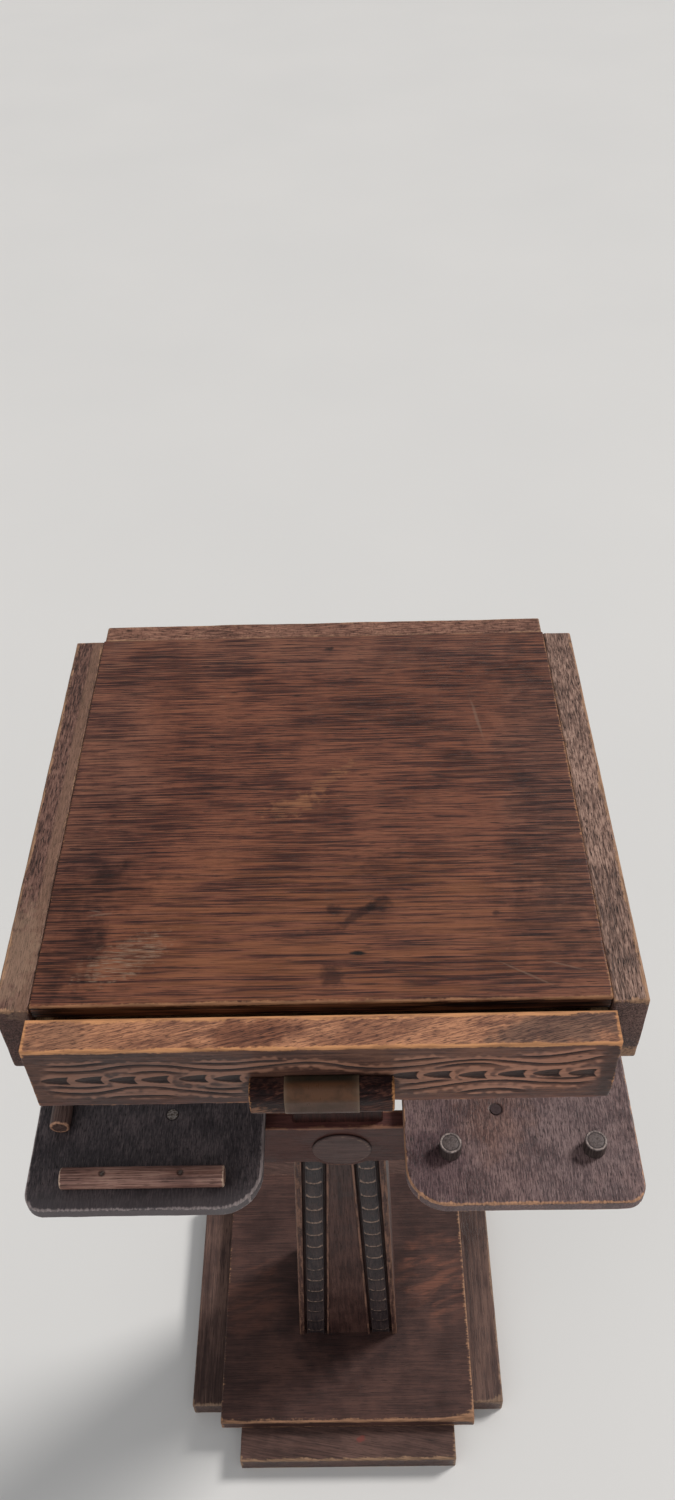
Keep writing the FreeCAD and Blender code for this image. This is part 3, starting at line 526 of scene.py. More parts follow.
def block(lines):
    """Points and quads of a cuboid's skin from its three lists of positions."""
    points, quads, count = [], [], 0
    for axis in range(3):
        u, v = (axis + 1) % 3, (axis + 2) % 3
        for side in (0, -1):
            grid_u, grid_v = np.meshgrid(lines[u], lines[v], indexing="ij")
            face = np.zeros(grid_u.shape + (3,))
            face[..., axis] = lines[axis][side]
            face[..., u] = grid_u
            face[..., v] = grid_v
            ring = grid_quads(np.arange(grid_u.size).reshape(grid_u.shape) + count)
            quads.append(ring[:, ::-1] if side == 0 else ring)
            points.append(face.reshape(-1, 3))
            count += grid_u.size
    points = np.concatenate(points)
    keys = np.round(points * 1000).astype(np.int64)
    _, first, back = np.unique(keys, axis=0, return_index=True, return_inverse=True)
    return points[first], back.reshape(-1)[np.concatenate(quads)]


def soften(points, low, high, radius):
    """Round a cuboid's edges by a radius that may differ from point to point."""
    radius = np.minimum(radius, (high - low).min() * 0.49)[:, None]
    core = np.clip(points, low + radius, high - radius)
    away = points - core
    size = np.linalg.norm(away, axis=1, keepdims=True)
    return core + away / np.maximum(size, 1e-9) * radius


def turn_corner(points, corner, inward, radius, axes):
    """Bend one sharp corner of an outline, seen in the plane of two axes, into an arc."""
    axes = list(axes)
    inward = np.array(inward)
    centre = np.array(corner) + inward * radius
    away = (points[:, axes] - centre) * -inward
    beyond = (away > 1e-9).all(axis=1, keepdims=True)
    size = np.maximum(np.hypot(away[:, :1], away[:, 1:]), 1e-9)
    bent = centre - inward * away * away.max(axis=1, keepdims=True) / size
    out = points.copy()
    out[:, axes] = np.where(beyond, bent, points[:, axes])
    return out


def placed(name, data):
    """Put a mesh, light or camera into the scene."""
    thing = bpy.data.objects.new(name, data)
    bpy.context.scene.collection.objects.link(thing)
    return thing


def make(node, points, faces, material, wear=None, hollow=None, ridge=None,
         body="stand"):
    """Turn points and faces in millimetres into the piece that stands for a CAD node."""
    mesh = bpy.data.meshes.new(node + "_piece")
    mesh.from_pydata((np.asarray(points) * MM).tolist(), [], [list(f) for f in faces])
    for label, values in (("wear", wear), ("hollow", hollow), ("ridge", ridge)):
        if values is not None:
            store = mesh.attributes.new(label, "FLOAT", "POINT")
            store.data.foreach_set("value", np.clip(values, 0, 1).astype(np.float32))
    work = bmesh.new()
    work.from_mesh(mesh)
    bmesh.ops.recalc_face_normals(work, faces=work.faces)
    work.to_mesh(mesh)
    work.free()
    mesh.shade_smooth()
    mesh.materials.append(material)
    piece = placed(mesh.name, mesh)
    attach(piece, body)
    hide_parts(node)


def nearness(points, centre, reach):
    """1 at a spot, falling to 0 at a few times its reach along each axis."""
    far = np.linalg.norm((points - np.array(centre)) / np.array(reach), axis=-1)
    return np.exp(-far ** 2)


def worn_radius(points, radius, seed, chips=()):
    """An edge radius that wanders, with extra loss of wood at given spots."""
    wander = 1 + 0.35 * noise(points, 14, seed) + 0.3 * noise(points, 4, seed + 1)
    out = radius * np.clip(wander, 0.4, 2.0)
    for centre, reach, loss in chips:
        out = out + loss * nearness(points, centre, reach)
    return out


def edge_wear(points, low, high, reach, seed):
    """Wear that fades away from the edges and comes and goes along them."""
    from_edge = np.sort(inside(points, low, high), axis=1)[:, 1]
    near = np.exp(-(from_edge / (1.5 * reach)) ** 1.5)
    patchy = 0.88 + 0.45 * noise(points, 13, seed) + 0.25 * noise(points, 3, seed + 5)
    return near * np.clip(patchy, 0, 1.4)


def board(node, material, radius, step, reach, wear, seed, chips=(), shape=None,
          worn=None, body="stand", extra=((), (), ())):
    """A plain board in place of a CAD node, with worn, uneven edges.

    The edges are rounded by a radius, and worn over a reach from them. The mesh has
    lines a step apart, with extra ones along each axis, and shape and worn may change
    its points and its wear.
    """
    low, high = box(node)
    lines = [cuts(low[a], high[a], step, radius, extra[a]) for a in range(3)]
    points, quads = block(lines)
    amount = edge_wear(points, low, high, reach, seed) * wear
    if worn is not None:
        amount = amount * worn(points)
    for centre, size, loss in chips:
        amount = amount + nearness(points, centre, size) * min(1.0, loss)
    points = soften(points, low, high, worn_radius(points, radius, seed, chips))
    hollow = None
    if shape is not None:
        points, hollow = shape(points)
    make(node, points, quads, material, amount, hollow, body=body)


def slab(front, back, layers, flat=False):
    """Points and faces of a closed body between two matching grids of points.

    A flat back is one face inside a narrow border, in place of its whole grid.
    """
    index = np.arange(front[..., 0].size).reshape(front.shape[:2])
    rim = np.concatenate([index[0, :], index[1:, -1], index[-1, -2::-1], index[-2:0:-1, 0]])
    front, back = front.reshape(-1, 3), back.reshape(-1, 3)
    rings = [front[rim] * (1 - share) + back[rim] * share for share in layers]
    if flat:
        centre = back[rim].mean(axis=0)
        rings += [centre + (back[rim] - centre) * size for size in (1.0, 0.99)]
    loops = [rim]
    loops += [np.arange(len(rim)) + len(front) + number * len(rim)
              for number in range(len(rings))]
    quads = [grid_quads(index)]
    cap = []
    if flat:
        cap.append(loops[-1])
    else:
        count = len(front) + len(rings) * len(rim)
        rings.append(back)
        loops.append(rim + count)
        quads.append(grid_quads(index)[:, ::-1] + count)
    for first, second in zip(loops[:-1], loops[1:]):
        quads.append(np.stack([first, second, np.roll(second, -1), np.roll(first, -1)], -1))
    return np.concatenate([front, *rings]), list(np.concatenate(quads)) + cap


def quarter_turn(count):
    """Even steps over a quarter turn, in radians."""
    return np.linspace(0, math.pi / 2, count)


def on_front(values, points, elsewhere=0.0):
    """Values for a slab's front grid, and one value for all its other points."""
    out = np.full(len(points), float(elsewhere))
    out[:values.size] = values.ravel()
    return out


def turned(profile, count, seed=0, rough=0.0):
    """Points and faces of a round piece from its (radius, height) profile."""
    radius, height = np.array(profile, float).T[..., None]
    angle = np.arange(count) * 2 * np.pi / count
    points = xyz(radius * np.cos(angle), radius * np.sin(angle), height).reshape(-1, 3)
    if rough:
        inward = 1 - rough * (0.5 + 0.5 * noise(points, 5, seed)) / 6
        points[:, :2] *= inward[:, None]
    index = np.arange(len(points)).reshape(-1, count)
    sides = grid_quads(np.concatenate([index, index[:, :1]], 1))
    return points, [*sides, index[0, ::-1], index[-1]]


def blur(values, reach):
    """A box average over a grid, run twice for a softer result."""
    window = np.ones(2 * reach + 1) / (2 * reach + 1)
    for axis in (0, 1, 0, 1):
        border = [(reach, reach) if other == axis else (0, 0) for other in (0, 1)]
        padded = np.pad(values, border, mode="edge")
        values = np.apply_along_axis(np.convolve, axis, padded, window, mode="valid")
    return values


# ---- finishes ----
TOP = top_wood()
# The left board has a pale line beside the top, and a rubbed spot near its front corner.
LEVEL = box("side_board_left")[1][Z]
SIDE_LEFT = case_wood("side_board_left_wood", Y, (0.045, 0.022, 0.017),
                      (0.136, 0.066, 0.050), (0.235, 0.128, 0.097), shade_front_end=True,
                      marks=[((0.21, 0.118, 0.078), (-132.5, 0, LEVEL), (3.2, 400, 10), 0.2, 8),
                             ((0.27, 0.17, 0.115), (-141, -95, LEVEL), (12, 30, 12), 0.6, 5)])
SIDE_RIGHT = case_wood("side_board_right_wood", Y, (0.070, 0.038, 0.029),
                       (0.205, 0.119, 0.090), (0.420, 0.270, 0.210), shade_front_end=True)
BACK = case_wood("back_board_wood", X, (0.085, 0.036, 0.024), (0.205, 0.093, 0.064),
                 (0.350, 0.182, 0.122))
FLOOR_BOARD = Wood("case_floor_wood", X, (0.026, 0.011, 0.009), (0.060, 0.026, 0.019),
                   (0.105, 0.048, 0.032)).done()
DRAWER = drawer_wood()
BARE_ALONG, BARE_ACROSS = (
    Wood(name, axis, (0.20, 0.115, 0.060), (0.30, 0.185, 0.100), (0.40, 0.260, 0.150),
         band=3.0, pores=0.4).done(rough=0.6)
    for name, axis in (("bare_inner_wood", Y), ("bare_drawer_wood", X)))
PULL = pull_wood()
COLUMN = column_wood()
BEAM = beam_wood()
LADDER = plain_wood("ladder_wood", Z, (0.018, 0.0132, 0.0155), (0.035, 0.0245, 0.0255),
                    (0.058, 0.038, 0.0355), (0.30, 0.20, 0.15), pores=0.3)
BOSS = plain_wood("boss_wood", X, (0.046, 0.0225, 0.0195), (0.073, 0.0375, 0.0330),
                  (0.102, 0.055, 0.0475), (0.22, 0.140, 0.105), pores=0.4)
TRAY_LEFT = tray_left_wood()
TRAY_RIGHT = tray_right_wood()
ROD_ACROSS = plain_wood("rod_wood", X, (0.100, 0.046, 0.036), (0.265, 0.134, 0.104),
                        (0.470, 0.280, 0.215), (0.76, 0.54, 0.40), band=1.2, pores=0.8,
                        contrast=0.75)
ROD_ALONG = plain_wood("side_rod_wood", Y, (0.036, 0.019, 0.017), (0.082, 0.046, 0.038),
                       (0.155, 0.096, 0.080), (0.60, 0.32, 0.20), band=1.2, pores=0.8)
PIN = pin_wood()
PLATE = base_plate_wood()
BASE = plain_wood("base_board_wood", Y, (0.040, 0.021, 0.018), (0.088, 0.048, 0.039),
                  (0.158, 0.090, 0.070), (0.30, 0.19, 0.125), band=2.2, pores=0.6,
                  contrast=0.85)
STEP = step_wood()
BRASS = brass()
NAIL_STEEL = steel("dull_nail_steel", (0.15, 0.115, 0.10), (0.055, 0.034, 0.027))
# Painted highlight: the screws' pale bare tone makes the heads on the left shine.
SCREW_STEEL = steel("dull_screw_steel", (0.30, 0.27, 0.25), (0.075, 0.050, 0.038), 0.95)


# ---- case ----
SIDE_CORNER = 5.0


def side_board(side, material, seed, chips=()):
    """A case side with its front lower corner rounded off."""
    node = "side_board_" + side
    low, high = box(node)

    def shape(points):
        return turn_corner(points, (low[Y], low[Z]), (1, 1), SIDE_CORNER, (Y, Z)), None

    def worn(points):
        inner = np.abs(points[:, X]) < np.abs(low[X] + high[X]) / 2
        return (0.55 + 0.7 * (points[:, Z] > high[Z] - 3)) * np.where(inner, 0.4, 1.0)
    board(node, material, radius=1.1, step=4.0, reach=1.2, wear=0.9, seed=seed,
          chips=chips, shape=shape, worn=worn)


def top_edge_wear(points):
    """Most wear on the front edge, and some on the right one."""
    low, high = box("top_panel")
    front = points[:, Y] < low[Y] + 3
    right = points[:, X] > high[X] - 3
    return (0.36 + 0.86 * front + 0.24 * right * (1 - front)) * (points[:, Z] > high[Z] - 1.6)


side_board("left", SIDE_LEFT, 25)
side_board("right", SIDE_RIGHT, 26, chips=[((137, -127, 632), (10, 4, 5), 2.0)])
board("top_panel", TOP, radius=0.9, step=4.0, reach=0.8, wear=1.0, seed=3,
      worn=top_edge_wear)
board("back_board", BACK, radius=1.2, step=4.0, reach=1.3, wear=0.8, seed=9)
board("case_floor", FLOOR_BOARD, radius=0.8, step=8.0, reach=1.2, wear=0.5,
      seed=13)


# ---- drawer front ----
# Across from the middle and up from the lower edge of the front, in millimetres.
NOTCH_ENDS = [-111.5, -96.3, -81.5, -66.9, -50.1, -34.9,
              43.2, 57.7, 73.2, 90.5, 105.9, 121.5]
NOTCH_LENGTH, NOTCH_HEIGHT, NOTCH_DEPTH, NOTCH_ROW = 13.0, 6.6, 1.0, 21.8
GROOVE_DEPTH = 0.8
GOUGED_LINES = [
    [(-122, 35.1), (-114.5, 34.2), (-104, 34.6), (-96, 36.0), (-91, 36.9)],
    [(-125, 30.2), (-109, 29.3), (-98, 30.3), (-92, 32.2), (-85, 33.5), (-76, 34.0),
     (-66, 33.0), (-57, 31.0), (-49, 29.4), (-39, 29.2), (-28, 31.0), (-16, 33.0),
     (-4, 34.0), (4, 32.6), (12, 30.0), (22, 28.4), (33, 28.4), (43, 29.8),
     (52, 32.0), (61, 33.6), (70, 34.0), (80, 32.8), (90, 31.0), (98, 29.8),
     (106, 30.0), (114, 32.0), (121, 34.8), (127, 36.2)],
    [(-58, 35.5), (-51, 34.8), (-44, 34.4), (-36, 34.6), (-28, 35.6), (-14, 36.2)],
    [(-85, 27.2), (-78, 28.4), (-72.5, 28.7), (-66, 28.0), (-61, 26.9)],
    [(29, 33.8), (38, 34.2), (46, 35.6), (54, 36.8)],
    [(83, 37.2), (91, 36.0), (99, 36.2), (108, 38.0), (115, 39.9), (122, 41.3)],
    [(49.5, 28.0), (58, 30.2), (66, 31.0), (74, 30.4), (80.5, 28.2)],
    [(-122, 18.0), (-113, 16.2), (-104, 15.8), (-98, 16.6), (-94, 17.8)],
    [(-125.5, 14.4), (-119, 12.0), (-108, 10.7), (-100, 11.2), (-94, 13.0), (-87, 15.2),
     (-80, 15.7), (-72, 14.8), (-64, 13.0), (-56, 11.2), (-49, 9.5), (-40, 8.6),
     (-33.6, 9.3)],
    [(-55, 14.8), (-49, 13.4), (-42, 13.0), (-33.6, 14.2)],
    [(-99, 6.3), (-92, 7.5), (-84, 7.9), (-75, 7.9), (-67, 7.2), (-62, 6.3)],
    [(33.6, 14.4), (42, 15.0), (49.5, 16.6), (58, 18.2)],
    [(33.6, 9.6), (42, 9.7), (49.5, 11.4), (58, 13.6), (67, 15.6), (76, 16.5),
     (86, 16.0), (95, 14.4), (104, 13.6), (113, 13.2), (121.5, 15.0)],
    [(95, 18.4), (104, 17.5), (113, 17.9), (122, 19.5)],
    [(57, 5.2), (64, 7.3), (72, 9.0), (80, 9.3), (88, 8.1), (94, 6.8)],
]


def flowing(knots, x):
    """A smooth curve through knots, read at every x."""
    kx, kz = np.array(knots, float).T
    slope = np.gradient(kz, kx)
    i = np.clip(np.searchsorted(kx, x) - 1, 0, len(kx) - 2)
    span = kx[i + 1] - kx[i]
    t = np.clip((x - kx[i]) / span, 0, 1)
    return ((2 * t ** 3 - 3 * t ** 2 + 1) * kz[i] + (3 * t ** 2 - 2 * t ** 3) * kz[i + 1]
            + (t ** 3 - 2 * t ** 2 + t) * span * slope[i]
            + (t ** 3 - t ** 2) * span * slope[i + 1])


def carved_depth(x, up):
    """How deep the drawer front is cut at each point of a grid, and how dark it is painted with
    grime and shade.
    """
    flat = xyz(x, up, 0)
    depth = np.zeros_like(x)
    grime_and_shade = np.zeros_like(x)
    for knots in GOUGED_LINES:
        start, end = knots[0][0], knots[-1][0]
        line = flowing(knots, x)
        fade = min(9.0, (end - start) * 0.3)
        length = smooth(x, start - 1, start + fade) * smooth(-x, -end - 1, -end + fade)
        below = line - up
        lip = np.exp(-(below / 0.45) ** 2)
        slope = np.exp(-(np.clip(below, 0, None) / 1.3) ** 1.4)
        cut = GROOVE_DEPTH * np.where(below < 0, lip, slope) * length
        depth = np.maximum(depth, cut * (1 + 0.18 * noise(flat, 9, 4)))
        # Each groove's core is darkened: grime, and painted shade under its upper wall.
        core = np.exp(-(np.abs(below - 0.50) / 0.72) ** 3) * length
        grime_and_shade = np.maximum(grime_and_shade, core * (0.9 + 0.2 * noise(flat, 5, 9)))
    for number, end in enumerate(NOTCH_ENDS):
        row = NOTCH_ROW + 0.3 * math.sin(number * 2.1)
        across = (up - row) / (NOTCH_HEIGHT / 2)
        stop = end - 1.4 * (1 - across ** 2)
        t = (x - (end - NOTCH_LENGTH)) / NOTCH_LENGTH
        half = np.sqrt(np.clip(np.sin(np.clip(t, 0, 1) * np.pi / 2), 0, 1))
        hollow = smooth(half - np.abs(across), 0.0, 0.22) * smooth(stop - x, 0.0, 0.45)
        cut = NOTCH_DEPTH * (0.3 + 0.7 * np.clip(t, 0, 1)) * hollow * (t > 0)
        depth = np.maximum(depth, cut)
        # Each notch is darkened all over: grime, and painted shade in its hollow.
        stained = smooth(half - np.abs(across), -0.08, 0.06) * smooth(stop - x, -0.2, 0.2)
        grime_and_shade = np.maximum(grime_and_shade, stained * (t > 0) * (0.55 + 0.4 * np.clip(t, 0, 1)))
    ground = 0.06 * (1 + noise(flat, 2.2, 8)) + 0.08 * (1 + noise(flat, 12, 6))
    return depth + ground, grime_and_shade


def drawer_front():
    low, high = box("drawer_front")
    x, z = np.meshgrid(cuts(low[X], high[X], 0.42, 1.2), cuts(low[Z], high[Z], 0.40, 1.2),
                       indexing="ij")
    up = z - low[Z]
    depth, grime_and_shade = carved_depth(x, up)
    proud = blur(depth, 5) - depth
    flat = xyz(x, z, 0)
    edge = np.minimum(inside(x, low[X], high[X]), inside(z, low[Z], high[Z]))
    right_corner = (high[X], low[Z] + 0.5, 0)
    radius = worn_radius(flat, 1.15, 31, [(right_corner, (5, 5, 5), 1.6)])
    inset = np.clip(radius - edge, 0, None)
    roll = radius - np.sqrt(np.clip(radius ** 2 - inset ** 2, 0, None))
    depth = depth * smooth(edge, 0.0, 1.5) + roll
    points, faces = slab(xyz(x, low[Y] + depth, z), xyz(x, high[Y], z),
                         (0.06, 0.12, 0.22, 0.5, 0.8, 0.93, 0.98), flat=True)
    carved = (up > 5) & (up < 43)
    # Painted highlight and rubbed wear along the raised crests of the carving.
    crest = smooth(proud, 0.0, 0.14) * (0.85 + 0.3 * noise(flat, 9, 40)) * carved
    amount = edge_wear(points, low, high, 0.75, 33)
    amount *= np.where(points[:, Z] > high[Z] - 4, 1.5, 0.4)
    make("drawer_front", points, faces, DRAWER, amount,
         on_front(grime_and_shade, points), on_front(crest * (1 - grime_and_shade), points), "drawer")


drawer_front()


# ---- drawer pull ----
PULL_BEND = 5.0


def pull_block():
    low, high = box("pull_block")

    def shape(points):
        points = turn_corner(points, (low[X], low[Z]), (1, 1), 2.6, (X, Z))
        points = turn_corner(points, (low[Y], low[Z]), (1, 1), PULL_BEND, (Y, Z))
        points = turn_corner(points, (low[Y], high[Z]), (1, -1), PULL_BEND, (Y, Z))
        # The back part of the block, with its flat top, is darkened: grime and painted shade.
        return points, smooth(points[:, Y], low[Y] + 4.5, low[Y] + 6.5) * 0.55

    def worn(points):
        right = points[:, X] > high[X] - 4
        return np.exp(-inside(points[:, X], low[X], high[X]) / 1.4) * (0.6 + 0.9 * right)
    board("pull_block", PULL, radius=1.1, step=1.6, reach=1.1, wear=1.0,
          seed=41, shape=shape, worn=worn, body="drawer")


def pull_band():
    """A strip of thin sheet bent over the top, front and bottom of the pull."""
    low, high = box("pull_band")
    thickness = 0.8
    bend = PULL_BEND + thickness
    front = low[Y] + bend
    quarter = [(math.cos(turn), math.sin(turn)) for turn in quarter_turn(8)[1:]]
    # Each step of the way round: y, z, and the direction that faces outwards.
    path = [(y, high[Z], 0, 1) for y in (high[Y], *np.linspace(high[Y] - 1, front, 7))]
    path += [(front - bend * s, high[Z] - bend + bend * c, -s, c) for c, s in quarter]
    path += [(low[Y], z, -1, 0)
             for z in np.linspace(high[Z] - bend, low[Z] + bend, 14)[1:]]
    path += [(front - bend * c, low[Z] + bend - bend * s, -c, -s) for c, s in quarter]
    path += [(y, low[Z], 0, -1) for y in np.linspace(front, high[Y], 8)[1:]]
    y, z, outward_y, outward_z = np.array(path).T
    x = cuts(low[X], high[X], 1.5, 0.5)[:, None]
    outer = xyz(x, y, z)
    outward = xyz(0 * x, outward_y, outward_z)
    end = inside(x, low[X], high[X])
    dent = 0.10 * (1 + noise(outer, 6, 50)) * smooth(end, 0, 2)
    rolled = 0.25 * np.exp(-end / 0.35)
    inner = outer - outward * thickness
    outer = outer - outward * (0.35 + dent * 0.5 + rolled * 0.7)[..., None]
    points, faces = slab(outer, inner, (0.5,))
    end = inside(points[:, X], low[X], high[X])
    wear = np.exp(-end / 1.1) * (0.8 + 0.4 * noise(points, 5, 51))
    make("pull_band", points, faces, BRASS, wear, body="drawer")


pull_block()
pull_band()


# ---- column ----
FOOT_HALF, HEAD_HALF = 42.0, 22.0
HOUSING_DEPTH = 8.0


def blend(low_value, high_value, z, top=BEAM_LOW):
    """A width that changes evenly from the column's foot to a height."""
    return low_value + (high_value - low_value) * (z - COLUMN_FOOT) / (top - COLUMN_FOOT)


def mirrored(half, sign=1):
    """A grid's columns on both sides of its first one."""
    return np.concatenate([sign * half[:, :0:-1], half], 1)


def column_front():
    """The front board: a raised panel between two channels, and a housing for the beam."""
    low, high = box("column_front")
    z = np.array([COLUMN_FOOT, 32.6, 33.4, *np.arange(36, 350, 3.5), 351, 353, 355, 357,
                  358.4, 358.6, 358.9, BEAM_LOW, 366, 374, 382, 390, 398, 404.5, BEAM_HIGH,
                  405.2, 405.6, 408, *np.arange(414, 624, 6), 624.4, COLUMN_HEAD])
    below = z < BEAM_HIGH
    wall = np.where(below, blend(18.5, 9.0, z), 8.5)
    rim = wall - 1.8
    rail = wall + np.where(below, blend(19.4, 17.0, z), 11.0)
    outer = blend(FOOT_HALF, HEAD_HALF, z, COLUMN_HEAD)
    # From the middle outwards: how far out, how deep, and how worn.
    profile = [(rim * share, 1.2, 0.0) for share in (0.0, 0.30, 0.60, 0.85)]
    profile += [
        (rim - 0.9, 1.2, 0.05), (rim - 0.15, 1.15, 0.1), (rim + 0.05, 0.8, 0.3),
        (rim + 0.2, 0.15, 0.75), (rim + 0.5, 0.0, 0.8), (wall - 0.9, 0.0, 0.7),
        (wall - 0.4, 0.05, 0.8), (wall - 0.15, 0.3, 0.6), (wall, 0.9, 0.1),
        (wall + 0.1, 5.0, 0.0), (wall + 1.5, 5.0, 0.0), (rail - 8.0, 5.0, 0.0),
        (rail - 1.5, 5.0, 0.0), (rail - 0.1, 5.0, 0.0), (rail, 0.9, 0.1),
        (rail + 0.15, 0.3, 0.6), (rail + 0.45, 0.05, 0.8), (rail + 0.9, 0.0, 0.55),
        (outer - 1.6, 0.0, 0.5), (outer - 0.9, 0.05, 0.85), (outer - 0.45, 0.25, 1.0),
        (outer - 0.15, 0.6, 0.9), (outer, 1.1, 0.5)]
    half, deep, rub = (np.stack([row[part] + 0 * z for row in profile], 1)
                       for part in range(3))
    across, deep, rub = mirrored(half, -1), mirrored(deep), mirrored(rub)
    tall = z[:, None] + 0 * across
    carved = (tall < BEAM_LOW - 0.5).astype(float)
    housed = (tall > BEAM_LOW - 0.3) & (tall < BEAM_HIGH + 0.1)
    edge = np.abs(across) > outer[:, None] - 1.7
    deep = np.where(housed, HOUSING_DEPTH, deep * np.where(edge, 1.0, carved))
    front = xyz(across + COLUMN_MIDDLE, low[Y] + deep, tall)
    front[..., Y] += 0.12 * (1 + noise(front, 7, 60)) * ~housed * (deep > 0.3)
    back = xyz(front[..., X], high[Y], tall)
    points, faces = slab(front, back, (0.1, 0.3, 0.7, 0.95), flat=True)
    patchy = 0.8 + 0.3 * noise(front, 22, 61) + 0.25 * noise(front, 6, 62)
    wear = rub * patchy * np.where(edge, 0.25 + 0.75 * carved, carved)
    channel = 0.45 * smooth(deep, 1.6, 4.0) * carved
    make("column_front", points, faces, COLUMN, on_front(wear, points),
         on_front(channel, points))


def column_back():
    """The back board, whose sides lean in towards the column's head."""
    def shape(points):
        share = blend(1.0, HEAD_HALF / FOOT_HALF, points[:, Z], COLUMN_HEAD)
        points = points.copy()
        points[:, X] = COLUMN_MIDDLE + (points[:, X] - COLUMN_MIDDLE) * share
        return points, None
    board("column_back", COLUMN, radius=1.0, step=6.0, reach=1.2, wear=0.8,
          seed=66, shape=shape)


def cheek(side, sign):
    """A board that closes one side of the column, leaning with it."""
    node = "column_cheek_" + side
    low, high = box(node)
    half_thickness = 5.0
    low[X], high[X] = -half_thickness, half_thickness
    points, quads = block([cuts(low[a], high[a], 8.0, 0.8) for a in range(3)])
    wear = edge_wear(points, low, high, 1.2, 70) * 0.5
    points = soften(points, low, high, worn_radius(points, 0.7, 71))
    outer = blend(FOOT_HALF, HEAD_HALF, points[:, Z], COLUMN_HEAD)
    points[:, X] += COLUMN_MIDDLE + sign * (outer - half_thickness)
    make(node, points, quads, COLUMN, wear)


def ladder_strip(side, sign):
    """A strip of overlapping scales, each with a rounded lower lip, rubbed and given a painted
    highlight.
    """
    node = "ladder_strip_" + side
    low, high = box(node)
    bottom, top, pitch = low[Z], 353.0, 21.3
    rows = [bottom, bottom + 0.3, *np.arange(bottom + 0.8, top - 0.4, 0.55), top - 0.2, top]
    shares = 0.35 * np.sin(np.linspace(-np.pi / 2, np.pi / 2, 35))
    share, tall = np.meshgrid(shares + 0.65 * np.linspace(-1, 1, 35), rows)
    half = blend(7.5, 6.2, tall)
    scale = half * 0.93
    x = share * half
    reach = np.clip(np.abs(x) / scale, 0, 0.999)
    bow = scale * 0.9 * (1 - (1 - reach ** 2.6) ** 0.5)
    t = 1.0 - np.mod(top + 4.0 - tall + bow, pitch) / pitch
    flat = xyz(x + 40 * sign, tall, 0)
    faded = smooth(tall, 60, 260)
    lip = smooth(t, 0.0, 0.05)
    side_wall = smooth(scale - np.abs(x), 0.0, 1.1)
    depth = (0.35 + 2.3 * t ** 1.15) * (0.45 + 0.55 * faded)
    depth = (depth * lip + 0.3 * (1 - lip)) * side_wall
    depth = depth + 0.5 * np.exp((np.abs(x) - half) / 0.35) + 0.06 * (1 + noise(flat, 3, 80))
    centre = COLUMN_MIDDLE + sign * blend(28.2, 17.5, tall)
    points, faces = slab(xyz(centre + x, low[Y] + depth, tall),
                         xyz(centre + x, high[Y], tall), (0.5,), flat=True)
    steep = 1 + (2.4 * reach ** 2.2) ** 2
    # Lighter lip on each scale: rubbed wear and a painted highlight where it faces up.
    crest = np.exp(-((t - 0.035) * pitch / 1.25) ** 2 / steep) * np.exp(-t / 0.4)
    crest = crest * (np.abs(x) < scale * 0.97)
    wear = crest * (0.7 + 0.5 * faded) * (0.95 + 0.35 * noise(flat, 8, 82))
    # Painted shade in the deep upper end of each scale, under the lip above, over a darker tone
    # on the whole strip.
    hollow = smooth(t, 0.55, 1.0) * side_wall * 0.6 + 0.15
    make(node, points, faces, LADDER, on_front(wear, points),
         on_front(hollow, points, 0.5))


def beam(side, seed):
    """A cross beam whose lower edge swells into a round lobe at the column."""
    node = "beam_" + side
    low, high = box(node)
    low[Z] = BEAM_LOW
    middle, lobe_radius, lobe_height = 3.5, 25.0, 378.0
    under_lobe = np.arange(middle - 22, middle + 22, 1.0)
    points, quads = block([cuts(low[X], high[X], 5.0, 1.0, under_lobe),
                           cuts(low[Y], high[Y], 3.0, 1.0), cuts(low[Z], high[Z], 3.0, 1.0)])
    wear = edge_wear(points, low, high, 1.3, seed)
    wear *= np.where(points[:, Z] > high[Z] - 3, 1.0, 0.5)
    points = soften(points, low, high, worn_radius(points, 1.0, seed))
    away = np.abs(points[:, X] - middle)
    dip = lobe_height - np.sqrt(np.clip(lobe_radius ** 2 - away ** 2, 0, None))
    drop = np.where(away < lobe_radius, np.minimum(dip - BEAM_LOW, 0), 0)
    points[:, Z] += drop * (1 - np.clip((points[:, Z] - BEAM_LOW) / 12.0, 0, 1))
    make(node, points, quads, BEAM, wear)


def boss():
    """A round, slightly crowned button on the front beam."""
    low, high = box("beam_boss")
    radius = (high[X] - low[X]) / 2
    thick = high[Y] - low[Y]
    profile = [(radius - 0.3, 0.0), (radius, 0.2), (radius, thick * 0.4)]
    profile += [(radius - 1.6 + 1.6 * math.cos(turn), thick * (0.4 + 0.48 * math.sin(turn)))
                for turn in quarter_turn(7)[1:]]
    profile += [(radius * share, thick * (1 - 0.12 * share ** 2))
                for share in np.linspace(0.9, 0.05, 14)]
    profile.append((0.3, thick))
    points, faces = turned(profile, 72)
    rim = np.hypot(points[:, 0], points[:, 1])
    # Painted highlight: the rim is lighter on its right half only.
    wear = np.exp(-((rim - radius + 1.5) / 1.2) ** 2) * (points[:, 0] > 0) * 0.5
    wear *= 0.7 + 0.5 * noise(points, 6, 90)
    # Grime and painted shade: a dark ring round the foot of the rim.
    grime_and_shade = smooth(rim, radius - 0.5, radius) * 0.6
    middle = (low + high) / 2
    points = xyz(points[:, 0] + middle[X], high[Y] - points[:, 2], points[:, 1] + middle[Z])
    make("beam_boss", points, faces, BOSS, wear, grime_and_shade)


column_front()
column_back()
for side, sign in (("left", -1), ("right", 1)):
    cheek(side, sign)
for side, sign in (("left", -1), ("right", 1)):
    ladder_strip(side, sign)
beam("front", 74)
beam("back", 77)
boss()


